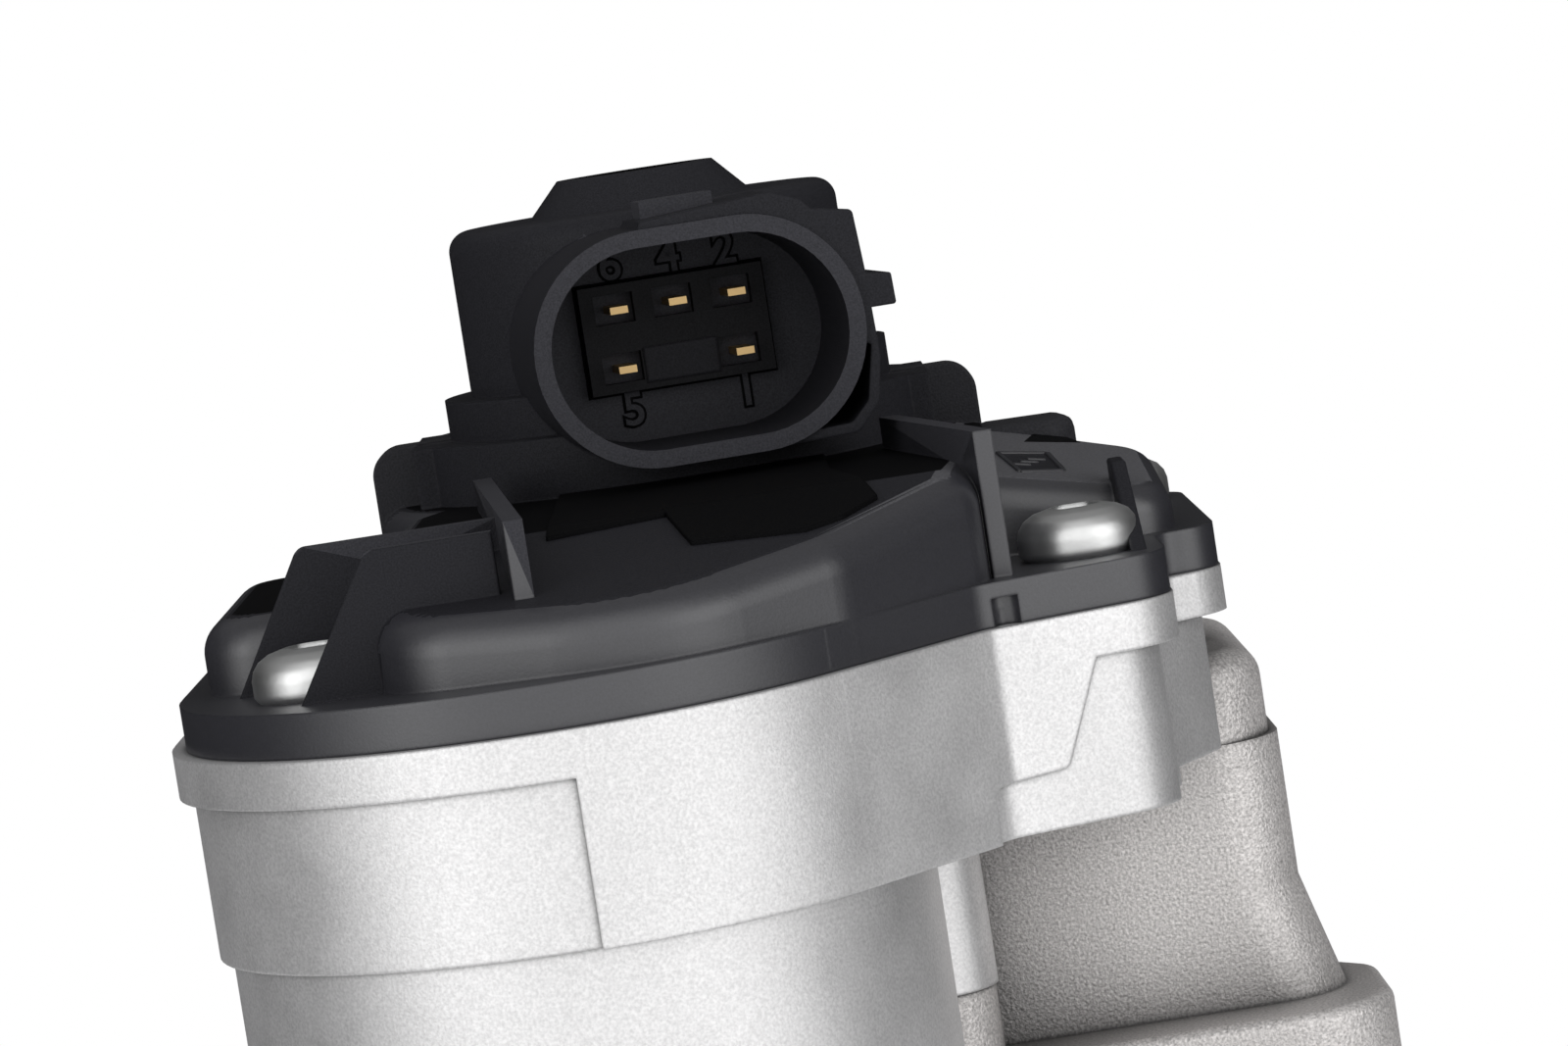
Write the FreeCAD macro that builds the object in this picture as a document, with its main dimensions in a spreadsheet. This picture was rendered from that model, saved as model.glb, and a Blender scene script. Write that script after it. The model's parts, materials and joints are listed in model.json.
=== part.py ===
import FreeCAD, Part
import math
import os
import re
import Sketcher
from FreeCAD import Vector

os.makedirs("parts", exist_ok=True)
doc = FreeCAD.newDocument("recirculation_valve")
sheet = doc.addObject("Spreadsheet::Sheet", "Dims")

# Heights are measured from the joint between the cover and the case (up is plus)
# or from the mounting face at z = 0. All sizes are in millimetres and degrees.
SIZES = {
    "joint_z": 60.0,
    # motor position, seen from the valve axis
    "motor_x": -9.5,
    "motor_y": -41.0,
    # actuator housing
    "floor_drop": 10.2,
    "floor_thick": 3.0,
    "case_wall": 2.5,
    "front_r": 23.1,
    "rear_r": 26.5,
    "rim_proud": 0.9,
    "rim_high": 2.9,
    "panel_left_x": -7.8,
    "barrel_r": 22.3,
    "barrel_step_drop": 12.7,
    "barrel_end_z": 4.0,
    "barrel_bore_r": 19.5,
    "end_wall_drop": 12.0,
    "end_wall_x": 29.3,
    "boss_r": 4.9,
    "end_boss_drop": 6.8,
    "body_boss_r": 4.1,
    "body_boss_drop": 26.4,
    # gear train
    "module_fine": 0.8,
    "module_coarse": 1.0,
    "pinion_teeth": 12,
    "wheel_teeth": 40,
    "output_teeth": 43,
    "pressure_angle": 25.0,
    "gear_backlash": 0.12,
    "axle_r": 2.0,
    "axle_top_rise": 3.6,
    "axle_foot": 2.6,
    "run_gap": 0.05,
    "wheel_low": -2.8,
    "wheel_thick": 4.2,
    "small_pinion_low": -9.5,
    "motor_pinion_low": -3.2,
    "motor_pinion_high": 5.0,
    "output_low": -9.3,
    "output_thick": 5.0,
    "washer_thick": 0.8,
    # cam drive
    "guide_in_r": 6.2,
    "guide_out_r": 7.7,
    "guide_top_rise": 9.0,
    "guide_lip": 1.0,
    "cam_out_r": 10.1,
    "cam_top_rise": 7.0,
    "roller_r": 2.0,
    "roller_in_x": 7.95,
    "roller_out_x": 9.6,
    "slot_gap": 0.06,
    "cross_r": 1.1,
    "cross_rise": 2.5,
    "valve_lift": 6.0,
    "cam_turn": 120.0,
    "cam_margin": 16.0,
    "ring_low": 7.15,
    "ring_thick": 0.9,
    "ring_groove": 0.5,
    "ring_out_r": 9.3,
    # valve
    "stem_r": 3.0,
    "stem_top_rise": 14.0,
    "retainer_low": -1.2,
    "retainer_thick": 1.2,
    "retainer_r": 5.9,
    "spring_wire": 1.1,
    "spring_out_r": 5.7,
    "spring_turns": 4.0,
    "carrier_r": 5.2,
    "carrier_skirt": 3.0,
    "carrier_top_rise": 18.0,
    "magnet_r": 4.0,
    "magnet_high": 3.5,
    "seat_low": 8.0,
    "seat_high": 12.0,
    "seat_in_r": 11.0,
    "port_r": 14.5,
    "spigot_r": 16.0,
    "spigot_deep": 4.0,
    "disc_r": 12.6,
    "disc_thick": 2.4,
    "disc_hub_r": 5.0,
    "disc_hub_high": 3.0,
    "chamber_r": 12.5,
    "chamber_top": 27.0,
    "duct_half": 8.0,
    "duct_low": 13.0,
    "duct_top": 25.0,
    "outlet_x": 26.5,
    "outlet_r": 8.5,
    "bush_r": 5.0,
    "bush_low": 26.0,
    "bush_high": 42.0,
    "stem_seal_r": 6.0,
    "gasket_thick": 0.4,
    # valve body
    "body_half_y": 14.0,
    "body_left_x": -18.0,
    "body_right_x": 37.8,
    "body_core_r": 16.8,
    "crease_drop": 23.7,
    "shoulder_drop": 7.4,
    "shoulder_left_x": 27.2,
    "base_top_drop": 31.6,
    "base_half_y": 20.0,
    "base_left_x": -20.0,
    "base_right_x": 42.7,
    "lug_r": 5.0,
    "lug_front_r": 3.9,
    "scallop_gap": 0.8,
    "ear_r": 7.2,
    "ear_thick": 8.0,
    "ear_hole_r": 3.3,
    "ear_spot_r": 5.3,
    "ear_spot_high": 14.0,
    "thread_gap": 0.04,
    "case_gap": 0.3,
    "bolt_centre_x": 12.0,
    "bolt_circle_r": 33.0,
    # motor
    "can_r": 19.2,
    "can_wall": 1.2,
    "can_low": 8.5,
    "can_floor": 1.5,
    "can_nose_r": 5.0,
    "can_nose_low": 5.5,
    "plate_thick": 2.0,
    "shaft_r": 1.5,
    "pilot_r": 6.5,
    "magnet_thick": 3.4,
    "magnet_low": 14.0,
    "magnet_top": 36.0,
    "core_r": 13.8,
    "core_low": 15.0,
    "core_top": 33.0,
    "winding_r": 11.5,
    "winding_over": 2.6,
    "comm_r": 5.5,
    "comm_low": 36.4,
    "comm_high": 6.0,
    "brush_plate_low": 37.0,
    "brush_plate_thick": 2.0,
    "brush_wide": 3.0,
    "brush_long": 5.0,
    "brush_tall": 3.0,
    "cap_thick": 3.0,
    "cap_spigot_r": 19.4,
    "cap_spigot": 2.6,
    "seal_wire": 1.0,
    # cover
    "flange_thick": 2.8,
    "cover_wall": 2.2,
    "dome_slope": 0.18,
    "side_roof_x": 21.9,
    "side_roof_y": -22.0,
    "side_roof_top": 8.35,
    "side_rise_x": -0.22,
    "side_rise_y": 0.10,
    "dome_top": 10.0,
    "rear_dome_r": 21.2,
    "left_top": 7.6,
    "step_two_r": 17.9,
    "step_two_top": 14.1,
    "step_one_r": 15.5,
    "step_one_top": 16.85,
    "drum_r": 13.6,
    "drum_top": 28.3,
    "crown_foot_r": 7.7,
    "crown_top_r": 5.45,
    "crown_top": 30.7,
    "crown_pit_r": 4.2,
    "crown_pit": 1.6,
    "tower_in_r": 11.3,
    "tower_low_in_r": 13.2,
    "tower_roof": 26.2,
    "wing_x": 21.2,
    "wing_top": 14.2,
    "wing_half": 1.5,
    "rib_thick": 1.1,
    # connector
    "plug_yaw": 7.5,
    "plug_rim": 25.0,
    "plug_z": 19.4,
    "plug_x": -0.25,
    "plug_wide": 22.0,
    "plug_tall": 15.6,
    "plug_wall": 1.15,
    "block_x": -0.35,
    "block_rise": 0.5,
    "plug_deep": 12.6,
    "pin_pitch": 4.0,
    "pin_wide": 1.2,
    "pin_thick": 0.48,
    "pin_out": 3.0,
    "block_wide": 12.6,
    "block_tall": 7.3,
    "block_thick": 1.2,
    "cell_wide": 2.7,
    "cell_tall": 2.0,
    # sensor
    "board_r": 10.4,
    "board_low": 24.2,
    "board_thick": 1.2,
    "chip_size": 5.0,
    "chip_thick": 1.4,
    "bar_wide": 1.5,
    "bar_thick": 0.8,
    # screws
    "screw_r": 2.0,
    "screw_head_r": 3.95,
    "screw_head": 3.1,
    "screw_long": 9.5,
    "screw_clear": 0.25,
    "boss_core_r": 3.5,
    "seal_high": 1.0,
    "body_screw_r": 2.0,
    "body_screw_head_r": 3.5,
    "body_screw_head": 3.0,
    "body_screw_long": 18.0,
    "motor_screw_at": 12.0,
    "motor_screw_r": 1.5,
    "motor_screw_head_r": 2.6,
    "motor_screw_head": 1.8,
    "rib_top": 12.1,
    "left_rib_top": 11.5,
    "tower_low_top": 10.6,
    "skirt_front": 24.6,
    "skirt_back": 15.0,
}
row = 0
names = {}


def put(alias, value):
    """Write one size in the sheet."""
    global row
    row += 1
    sheet.set("A%d" % row, alias)
    sheet.set("B%d" % row, str(value))
    sheet.setAlias("B%d" % row, alias)
    names[alias] = "B%d" % row


for key, value in SIZES.items():
    put(key, value)
DERIVED = {
    "floor_top": "joint_z-floor_drop",
    "floor_low": "joint_z-floor_drop-floor_thick",
    "body_top": "floor_low-gasket_thick",
    "body_boss_low": "joint_z-body_boss_drop",
    "base_top": "joint_z-base_top_drop",
    "crease_z": "joint_z-crease_drop",
    "centre_gap": "sqrt(motor_x^2+motor_y^2)",
    "stage_one": "module_fine*(pinion_teeth+wheel_teeth)/2",
    "stage_two": "module_coarse*(pinion_teeth+output_teeth)/2",
    "foot_share": "(stage_two^2-stage_one^2+centre_gap^2)/(2*centre_gap)",
    "side_share": "sqrt(stage_two^2-foot_share^2)",
    "wheel_x": "(foot_share*motor_x-side_share*motor_y)/centre_gap",
    "wheel_y": "(foot_share*motor_y+side_share*motor_x)/centre_gap",
    "plate_top": "floor_low-run_gap",
    "plate_low": "plate_top-plate_thick",
    "cross_z": "joint_z+cross_rise",
    "plug_floor_y": "plug_deep-plug_rim",
    "plug_height": "joint_z+plug_z",
    "brush_rise": "brush_plate_low+brush_plate_thick-joint_z",
    "bar_half": "bar_thick/2",
    "spring_low": "floor_low+guide_lip",
    "spring_high": "joint_z+retainer_low",
}
doc.recompute()
for key, value in DERIVED.items():
    put(key, "=" + value)
doc.recompute()


scratch = doc.addObject("Spreadsheet::Sheet", "Scratch")


def num(text):
    """Value of a size expression, worked out by the sheet."""
    scratch.set("A1", "=" + link(text))
    scratch.recompute()
    return float(scratch.get("A1"))


def link(text):
    """The same expression with the sheet named in front of each size."""
    return re.sub(r"[a-z][a-z0-9_]*", lambda m: "Dims." + m.group(0) if m.group(0) in names else m.group(0), str(text))


def bind(item, prop, text):
    item.setExpression(prop, link(text))


def place(item, x="0", y="0", z="0"):
    for axis, text in zip("xyz", (x, y, z)):
        if str(text) != "0":
            bind(item, "Placement.Base." + axis, text)
    return item


ALONG = {"z": (0, 0, 1, 0), "x": (0, 1, 0, 90), "y": (1, 0, 0, -90)}


def cylinder(name, radius, low, high, x="0", y="0", axis="z"):
    """Cylinder from one height to another; axis x or y runs from low to high along it."""
    item = doc.addObject("Part::Cylinder", name)
    bind(item, "Radius", radius)
    bind(item, "Height", "(%s)-(%s)" % (high, low))
    vx, vy, vz, turn = ALONG[axis]
    item.Placement = FreeCAD.Placement(Vector(0, 0, 0), FreeCAD.Rotation(Vector(vx, vy, vz), turn))
    if axis == "z":
        return place(item, x, y, low)
    if axis == "x":
        return place(item, low, x, y)
    return place(item, x, low, y)


def cone(name, radius_low, radius_high, low, high, x="0", y="0"):
    item = doc.addObject("Part::Cone", name)
    bind(item, "Radius1", radius_low)
    bind(item, "Radius2", radius_high)
    bind(item, "Height", "(%s)-(%s)" % (high, low))
    return place(item, x, y, low)


def box(name, x, y, z):
    """Box from pairs of limits along x, y and z."""
    item = doc.addObject("Part::Box", name)
    for prop, pair in zip(("Length", "Width", "Height"), (x, y, z)):
        bind(item, prop, "(%s)-(%s)" % (pair[1], pair[0]))
    return place(item, x[0], y[0], z[0])


def fuse(name, items):
    item = doc.addObject("Part::MultiFuse", name)
    item.Shapes = items
    item.Refine = True
    return item


def cut(name, base, tools):
    item = doc.addObject("Part::Cut", name)
    item.Base = base
    item.Tool = tools[0] if len(tools) == 1 else fuse(name + "_tools", tools)
    item.Refine = True
    return item


def common(name, one, two):
    item = doc.addObject("Part::MultiCommon", name)
    item.Shapes = [one, two]
    item.Refine = True
    return item


def outline(name, points, owner=None):
    """Closed sketch through points (x, y, corner radius), every value held in the sheet."""
    sketch = (owner or doc).newObject("Sketcher::SketchObject", name) if owner else None
    if sketch is None:
        sketch = doc.addObject("Sketcher::SketchObject", name)
    for index, (x, y, radius) in enumerate(points):
        put("%s_x%d" % (name, index), "=" + str(x))
        put("%s_y%d" % (name, index), "=" + str(y))
        if str(radius) != "0":
            put("%s_r%d" % (name, index), "=" + str(radius))
    sheet.recompute()
    spots = []
    for index, (x, y, radius) in enumerate(points):
        size = float(sheet.get("%s_r%d" % (name, index))) if str(radius) != "0" else 0.0
        here = (float(sheet.get("%s_x%d" % (name, index))), float(sheet.get("%s_y%d" % (name, index))))
        spots.append((Vector(here[0], here[1], 0), size))
    total = len(spots)
    ends = []
    for index, (here, size) in enumerate(spots):
        back = (spots[index - 1][0] - here).normalize()
        ahead = (spots[(index + 1) % total][0] - here).normalize()
        half = back.getAngle(ahead) / 2
        reach = size / math.tan(half)
        middle = here + (back + ahead).normalize() * (size / math.sin(half)) if size else here
        ends.append((here + back * reach, here + ahead * reach, middle))
    sides = []
    for index in range(total):
        sides.append(Part.LineSegment(ends[index][1], ends[(index + 1) % total][0]))
    side_ids = sketch.addGeometry(sides, False)
    mark_ids = sketch.addGeometry([Part.Point(here) for here, size in spots], True)
    rules = []
    for index, (here, size) in enumerate(spots):
        before = side_ids[index - 1]
        after = side_ids[index]
        if size:
            start, stop, middle = ends[index]
            circle = Part.Circle(middle, Vector(0, 0, 1), size)
            first = math.atan2(start.y - middle.y, start.x - middle.x)
            last = math.atan2(stop.y - middle.y, stop.x - middle.x)
            left_turn = (start - middle).cross(stop - middle).z > 0
            arc = Part.ArcOfCircle(circle, first, last) if left_turn else Part.ArcOfCircle(circle, last, first)
            arc_id = sketch.addGeometry(arc, False)
            rules.append(Sketcher.Constraint("Tangent", before, 2, arc_id, 1 if left_turn else 2))
            rules.append(Sketcher.Constraint("Tangent", arc_id, 2 if left_turn else 1, after, 1))
            rules.append(Sketcher.Constraint("PointOnObject", mark_ids[index], 1, before))
            rules.append(Sketcher.Constraint("PointOnObject", mark_ids[index], 1, after))
            radius_rule = Sketcher.Constraint("Radius", arc_id, size)
            rules.append((radius_rule, "%s_r%d" % (name, index)))
        else:
            rules.append(Sketcher.Constraint("Coincident", before, 2, after, 1))
            rules.append(Sketcher.Constraint("Coincident", mark_ids[index], 1, after, 1))
        rules.append((Sketcher.Constraint("DistanceX", -1, 1, mark_ids[index], 1, here.x), "%s_x%d" % (name, index)))
        rules.append((Sketcher.Constraint("DistanceY", -1, 1, mark_ids[index], 1, here.y), "%s_y%d" % (name, index)))
    sketch.addConstraint([rule[0] if isinstance(rule, tuple) else rule for rule in rules])
    for index, rule in enumerate(rules):
        if isinstance(rule, tuple):
            bind(sketch, "Constraints[%d]" % index, rule[1])
    return sketch


def extrude(name, sketch, low, high):
    item = doc.addObject("Part::Extrusion", name)
    item.Base = sketch
    item.DirMode = "Custom"
    item.Dir = Vector(0, 0, 1)
    item.Solid = True
    bind(item, "LengthFwd", "(%s)-(%s)" % (high, low))
    return place(item, z=low)


def prism(name, points, low, high):
    return extrude(name, outline(name + "_line", points), low, high)


def standing(name, points, low, high, axis):
    """Prism whose outline stands upright: (across, up) points, pushed along x or y."""
    item = doc.addObject("Part::Extrusion", name)
    sketch = outline(name + "_line", points)
    item.Base = sketch
    item.DirMode = "Custom"
    item.Solid = True
    bind(item, "LengthFwd", "(%s)-(%s)" % (high, low))
    if axis == "y":
        sketch.Placement = FreeCAD.Placement(Vector(0, 0, 0), FreeCAD.Rotation(Vector(1, 0, 0), 90))
        item.Dir = Vector(0, 1, 0)
        return place(item, y=low)
    sketch.Placement = FreeCAD.Placement(Vector(0, 0, 0), FreeCAD.Rotation(0.5, 0.5, 0.5, 0.5))
    item.Dir = Vector(1, 0, 0)
    return place(item, x=low)


def grown(name, sketch, extra, low, high):
    """Prism of a sketch moved outwards by a named amount (inwards when negative)."""
    ring = doc.addObject("Part::Offset2D", name + "_line")
    ring.Source = sketch
    bind(ring, "Value", extra)
    sketch.recompute()
    ring.recompute()
    return extrude(name, ring, low, high)


def turned(name, profile, x="0", y="0"):
    """Turned piece: a body with one closed profile (radius, height) spun about its upright axis."""
    body = doc.addObject("PartDesign::Body", name)
    plane = [part for part in body.Origin.OriginFeatures if part.Role == "XZ_Plane"][0]
    sketch = outline(name + "_line", [(r, z, "0") for r, z in profile], body)
    sketch.AttachmentSupport = [(plane, "")]
    sketch.MapMode = "FlatFace"
    spin = body.newObject("PartDesign::Revolution", name + "_spin")
    spin.Profile = sketch
    spin.ReferenceAxis = (sketch, ["V_Axis"])
    spin.Angle = 360.0
    return place(body, x, y)


def ring(name, inner, outer, low, high, x="0", y="0"):
    return turned(name, [(inner, low), (outer, low), (outer, high), (inner, high)], x, y)


def rounded(name, base, radius, pick):
    """Round the edges that pick chooses."""
    doc.recompute()
    item = doc.addObject("Part::Fillet", name)
    item.Base = base
    size = num(radius)
    item.Edges = [(i + 1, size, size) for i, edge in enumerate(base.Shape.Edges) if pick(edge)]
    return item


pieces = {}


def piece(label, item):
    item.Label = label
    pieces[label] = item
    return item


def level(edge, z):
    return edge.BoundBox.ZMin > z - 0.01 and edge.BoundBox.ZMax < z + 0.01



# Outlines shared by the case and the cover (x, y, corner radius)
FLANGE_BLOCK = [
    ("8.0", "-56.1", 0), ("17.8", "-45.4", 2.5), ("30.1", "-41.2", 4), ("30.1", "-30", 1.5), ("34.2", "-29", 3), ("34.2", "-0.5", 4.5),
    ("24", "8", 0), ("-20", "10", 0), ("-32.2", "-2.5", 4.5), ("-32.6", "-40", 0), ("-9.5", "-60", 0),
]
RIM_BLOCK = [
    ("8.0", "-56.1", 0), ("17.8", "-45.4", 2.5), ("29.3", "-41.4", 4), ("29.3", "-31", 2), ("33.4", "-28.5", 3), ("33.4", "-0.5", 4.5),
    ("24", "8", 0), ("-20", "10", 0), ("-32.2", "-2.5", 4.5), ("-32.6", "-40", 0), ("-9.5", "-60", 0),
]
CASE_BLOCK = [
    ("8.0", "-56.1", 0), ("17.8", "-45.4", 2.5), ("28.85", "-41.2", 4.5), ("28.85", "-34", 3), ("32.65", "-27", 3), ("32.65", "-16", 3),
    ("24.5", "-10", 0), ("0", "0", 0), ("-24", "-10", 0), ("-32.6", "-40", 0), ("-9.5", "-60", 0),
]
COVER_SCREWS = [(-23.2, -49.6), (25.0, -35.0), (29.3, -4.0), (-27.5, -8.0), (0.0, 27.5)]
BODY_SCREWS = [(12.0, -18.0), (12.0, 18.0), (-21.6, 0.0)]
for index, (x, y) in enumerate(COVER_SCREWS):
    put("cover_screw_x%d" % index, x)
    put("cover_screw_y%d" % index, y)
for index, (x, y) in enumerate(BODY_SCREWS):
    put("body_screw_x%d" % index, x)
    put("body_screw_y%d" % index, y)
doc.recompute()
cover_spots = [("cover_screw_x%d" % i, "cover_screw_y%d" % i) for i in range(len(COVER_SCREWS))]
body_spots = [("body_screw_x%d" % i, "body_screw_y%d" % i) for i in range(len(BODY_SCREWS))]
flange_block = outline("flange_block", FLANGE_BLOCK)
rim_block = outline("rim_block", RIM_BLOCK)
case_block = outline("case_block", CASE_BLOCK)


def shell(name, sketch, extra, low, high):
    """Two discs and the block between them, all moved outwards by extra."""
    front = cylinder(name + "_front", "front_r+(%s)" % extra, low, high, "motor_x", "motor_y")
    rear = cylinder(name + "_rear", "rear_r+(%s)" % extra, low, high)
    block = extrude(name + "_block", sketch, low, high) if extra == "0" else grown(name + "_block", sketch, extra, low, high)
    return [front, rear, block]


# Actuator housing
case = shell("case", case_block, "0", "floor_low", "joint_z")
rim = shell("rim", rim_block, "rim_proud", "joint_z-rim_high", "joint_z")
panel_all = fuse("panel_all", shell("panel", rim_block, "rim_proud", "floor_low", "joint_z-rim_high"))
PANEL = [
    ("panel_left_x", "floor_low-1", 0), ("16.9", "floor_low-1", 0), ("16.9", "joint_z-9.7", 0.6), ("21.8", "joint_z-9.4", 0.6),
    ("24.5", "joint_z-3", 0), ("24.5", "joint_z", 0), ("panel_left_x", "joint_z", 0)]
panel = common("panel_front", panel_all, standing("panel_window", PANEL, "motor_y*2", "motor_y", "y"))
barrel = cylinder("barrel", "barrel_r", "barrel_end_z", "floor_top", "motor_x", "motor_y")
barrel_top = cylinder("barrel_top", "front_r", "joint_z-barrel_step_drop", "joint_z", "motor_x", "motor_y")
outer_bosses = [
    cylinder("end_boss", "boss_r", "joint_z-end_boss_drop", "joint_z", *cover_spots[2]),
    cylinder("left_boss", "boss_r", "joint_z-floor_drop", "joint_z", *cover_spots[3]),
    cylinder("rear_boss", "boss_r", "joint_z-floor_drop", "joint_z", *cover_spots[4]),
]
hanging = [cylinder("hang_%d" % i, "body_boss_r", "body_boss_low", "floor_top", *spot) for i, spot in enumerate(body_spots)]
solid_case = fuse("solid_case", case + rim + [panel, barrel, barrel_top] + outer_bosses + hanging)
room = fuse("room", shell("room", case_block, "0-case_wall", "floor_top", "joint_z+1"))
posts = [cylinder("post_%d" % i, "boss_core_r", "floor_top", "joint_z+1", *spot) for i, spot in enumerate(cover_spots)]
foot = cylinder("axle_foot_boss", "boss_core_r", "floor_top", "joint_z+small_pinion_low-0.2", "wheel_x", "wheel_y")
room_cut = cut("room_cut", room, posts + [foot])
case_tools = [room_cut, box("end_wall_cut", ("end_wall_x", "end_wall_x+8"), ("motor_y", "0-10"), ("floor_low-1", "joint_z-end_wall_drop"))]
case_tools.append(cylinder("motor_bore", "barrel_bore_r", "0", "floor_low", "motor_x", "motor_y"))
case_tools.append(cylinder("pilot_hole", "pilot_r+run_gap", "floor_low-1", "floor_top+1", "motor_x", "motor_y"))
case_tools.append(cylinder("guide_hole", "guide_out_r", "floor_low-1", "floor_top+1"))
case_tools.append(cylinder("axle_hole", "axle_r", "joint_z+small_pinion_low-axle_foot", "joint_z", "wheel_x", "wheel_y"))
for i, spot in enumerate(cover_spots):
    case_tools.append(cylinder("tap_%d" % i, "screw_r+thread_gap", "joint_z+flange_thick-screw_long", "joint_z+1", *spot))
for i, spot in enumerate(body_spots):
    case_tools.append(cylinder("deep_%d" % i, "body_screw_r+screw_clear", "0", "floor_top", *spot))
    case_tools.append(cylinder("sink_%d" % i, "body_screw_head_r+screw_clear", "floor_top-body_screw_head-0.2", "floor_top+1", *spot))
BAR_DROPS = [("motor_x-6.9", "motor_y+5"), ("motor_x+9", "motor_y-9")]
for i, spot in enumerate(BAR_DROPS):
    case_tools.append(cylinder("bar_hole_%d" % i, "bar_wide", "floor_low-1", "floor_top+1", *spot))
motor_spots = [("motor_x-motor_screw_at", "motor_y"), ("motor_x+motor_screw_at", "motor_y")]
for i, spot in enumerate(motor_spots):
    case_tools.append(cylinder("motor_hole_%d" % i, "motor_screw_r+screw_clear", "floor_low-1", "floor_top+1", *spot))
piece("actuator_housing", cut("housing", solid_case, case_tools))

# Motor, from the case floor down
M = ("motor_x", "motor_y")
can = turned("can", [
    ("0", "can_nose_low"), ("can_nose_r", "can_nose_low"), ("can_nose_r", "can_low"), ("can_r", "can_low"),
    ("can_r", "plate_low"), ("can_r-can_wall", "plate_low"), ("can_r-can_wall", "can_low+can_floor"),
    ("can_nose_r-can_wall", "can_low+can_floor"), ("can_nose_r-can_wall", "can_nose_low+can_wall"), ("0", "can_nose_low+can_wall"),
], *M)
piece("motor_can", can)
piece("motor_rear_bush", ring("rear_bush", "shaft_r+run_gap", "can_nose_r-can_wall", "can_nose_low+can_wall", "can_low+can_floor", *M))
plate = turned("front_plate_disc", [
    ("3.4", "plate_low"), ("can_r", "plate_low"), ("can_r", "plate_top"), ("pilot_r", "plate_top"),
    ("pilot_r", "floor_top-0.3"), ("3.4", "floor_top-0.3"),
], *M)
plate_holes = [cylinder("plate_tap_%d" % i, "motor_screw_r", "plate_low-1", "plate_top+1", *spot) for i, spot in enumerate(motor_spots)]
plate_holes += [cylinder("plate_bar_%d" % i, "bar_wide", "plate_low-1", "plate_top+1", *spot) for i, spot in enumerate(BAR_DROPS)]
piece("motor_front_plate", cut("front_plate", plate, plate_holes))
piece("motor_front_bush", ring("front_bush", "shaft_r+run_gap", "3.4", "plate_low", "floor_top-0.3", *M))
magnet_ring = ring("magnet_ring", "can_r-can_wall-magnet_thick", "can_r-can_wall", "magnet_low", "magnet_top", *M)
magnet_gap = box("magnet_gap", ("motor_x-can_r", "motor_x+can_r"), ("motor_y-3", "motor_y+3"), ("magnet_low-1", "magnet_top+1"))
piece("motor_magnets", cut("magnets", magnet_ring, [magnet_gap]))
shaft = turned("shaft", [("0", "can_nose_low+can_wall+0.2"), ("shaft_r", "can_nose_low+can_wall+0.2"), ("shaft_r", "joint_z+2.4"), ("0", "joint_z+2.4")], *M)
piece("motor_shaft", shaft)


def spokes(name, count, half, inner, outer, low, high):
    bars = []
    for i in range(count):
        bar = box("%s_%d" % (name, i), ("0", outer), ("0-(%s)" % half, half), (low, high))
        turn = FreeCAD.Rotation(Vector(0, 0, 1), 360.0 * i / count)
        bar.Placement = FreeCAD.Placement(Vector(0, 0, 0), turn)
        bind(bar, "Placement.Base.x", "(%s)*cos(%s)+(%s)*sin(%s)+motor_x" % (inner, "%f deg" % (360.0 * i / count), half, "%f deg" % (360.0 * i / count)))
        bind(bar, "Placement.Base.y", "(%s)*sin(%s)-(%s)*cos(%s)+motor_y" % (inner, "%f deg" % (360.0 * i / count), half, "%f deg" % (360.0 * i / count)))
        bind(bar, "Placement.Base.z", low)
        bar.setExpression("Length", link("(%s)-(%s)" % (outer, inner)))
        bars.append(bar)
    return bars


core = ring("core", "shaft_r", "core_r", "core_low", "core_top", *M)
slots = spokes("core_slot", 8, "1.5", "6", "core_r+1", "core_low-1", "core_top+1")
piece("armature_core", cut("core_cut", core, slots))
wires = spokes("coil", 8, "1.4", "6.1", "core_r-1", "core_low-winding_over", "core_top+winding_over")
ends = [
    ring("coil_low", "4", "winding_r", "core_low-winding_over", "core_low", *M),
    ring("coil_high", "4", "winding_r", "core_top", "core_top+winding_over", *M),
]
piece("armature_windings", fuse("windings", wires + ends))
piece("commutator", ring("commutator_ring", "shaft_r", "comm_r", "comm_low", "comm_low+comm_high", *M))
brush_ring = ring("brush_ring", "comm_r+0.8", "can_r-can_wall-0.05", "brush_plate_low", "brush_plate_low+brush_plate_thick", *M)
piece("brush_plate", brush_ring)
brushes = [
    box("brush_a", ("motor_x+comm_r+run_gap", "motor_x+comm_r+brush_long"), ("motor_y-brush_wide/2", "motor_y+brush_wide/2"),
        ("brush_plate_low+brush_plate_thick", "brush_plate_low+brush_plate_thick+brush_tall")),
    box("brush_b", ("motor_x-comm_r-brush_long", "motor_x-comm_r-run_gap"), ("motor_y-brush_wide/2", "motor_y+brush_wide/2"),
        ("brush_plate_low+brush_plate_thick", "brush_plate_low+brush_plate_thick+brush_tall")),
]
piece("motor_brushes", fuse("brushes", brushes))
cap = turned("cap", [
    ("0", "barrel_end_z-cap_thick"), ("barrel_r", "barrel_end_z-cap_thick"), ("barrel_r", "barrel_end_z"), ("cap_spigot_r", "barrel_end_z"),
    ("cap_spigot_r", "barrel_end_z+0.7"), ("cap_spigot_r-seal_wire", "barrel_end_z+0.7"),
    ("cap_spigot_r-seal_wire", "barrel_end_z+0.8+seal_wire"), ("cap_spigot_r", "barrel_end_z+0.8+seal_wire"),
    ("cap_spigot_r", "barrel_end_z+cap_spigot"), ("cap_spigot_r-4.5", "barrel_end_z+cap_spigot"), ("cap_spigot_r-4.5", "barrel_end_z"), ("0", "barrel_end_z"),
], *M)
piece("motor_cap", cap)
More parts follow.
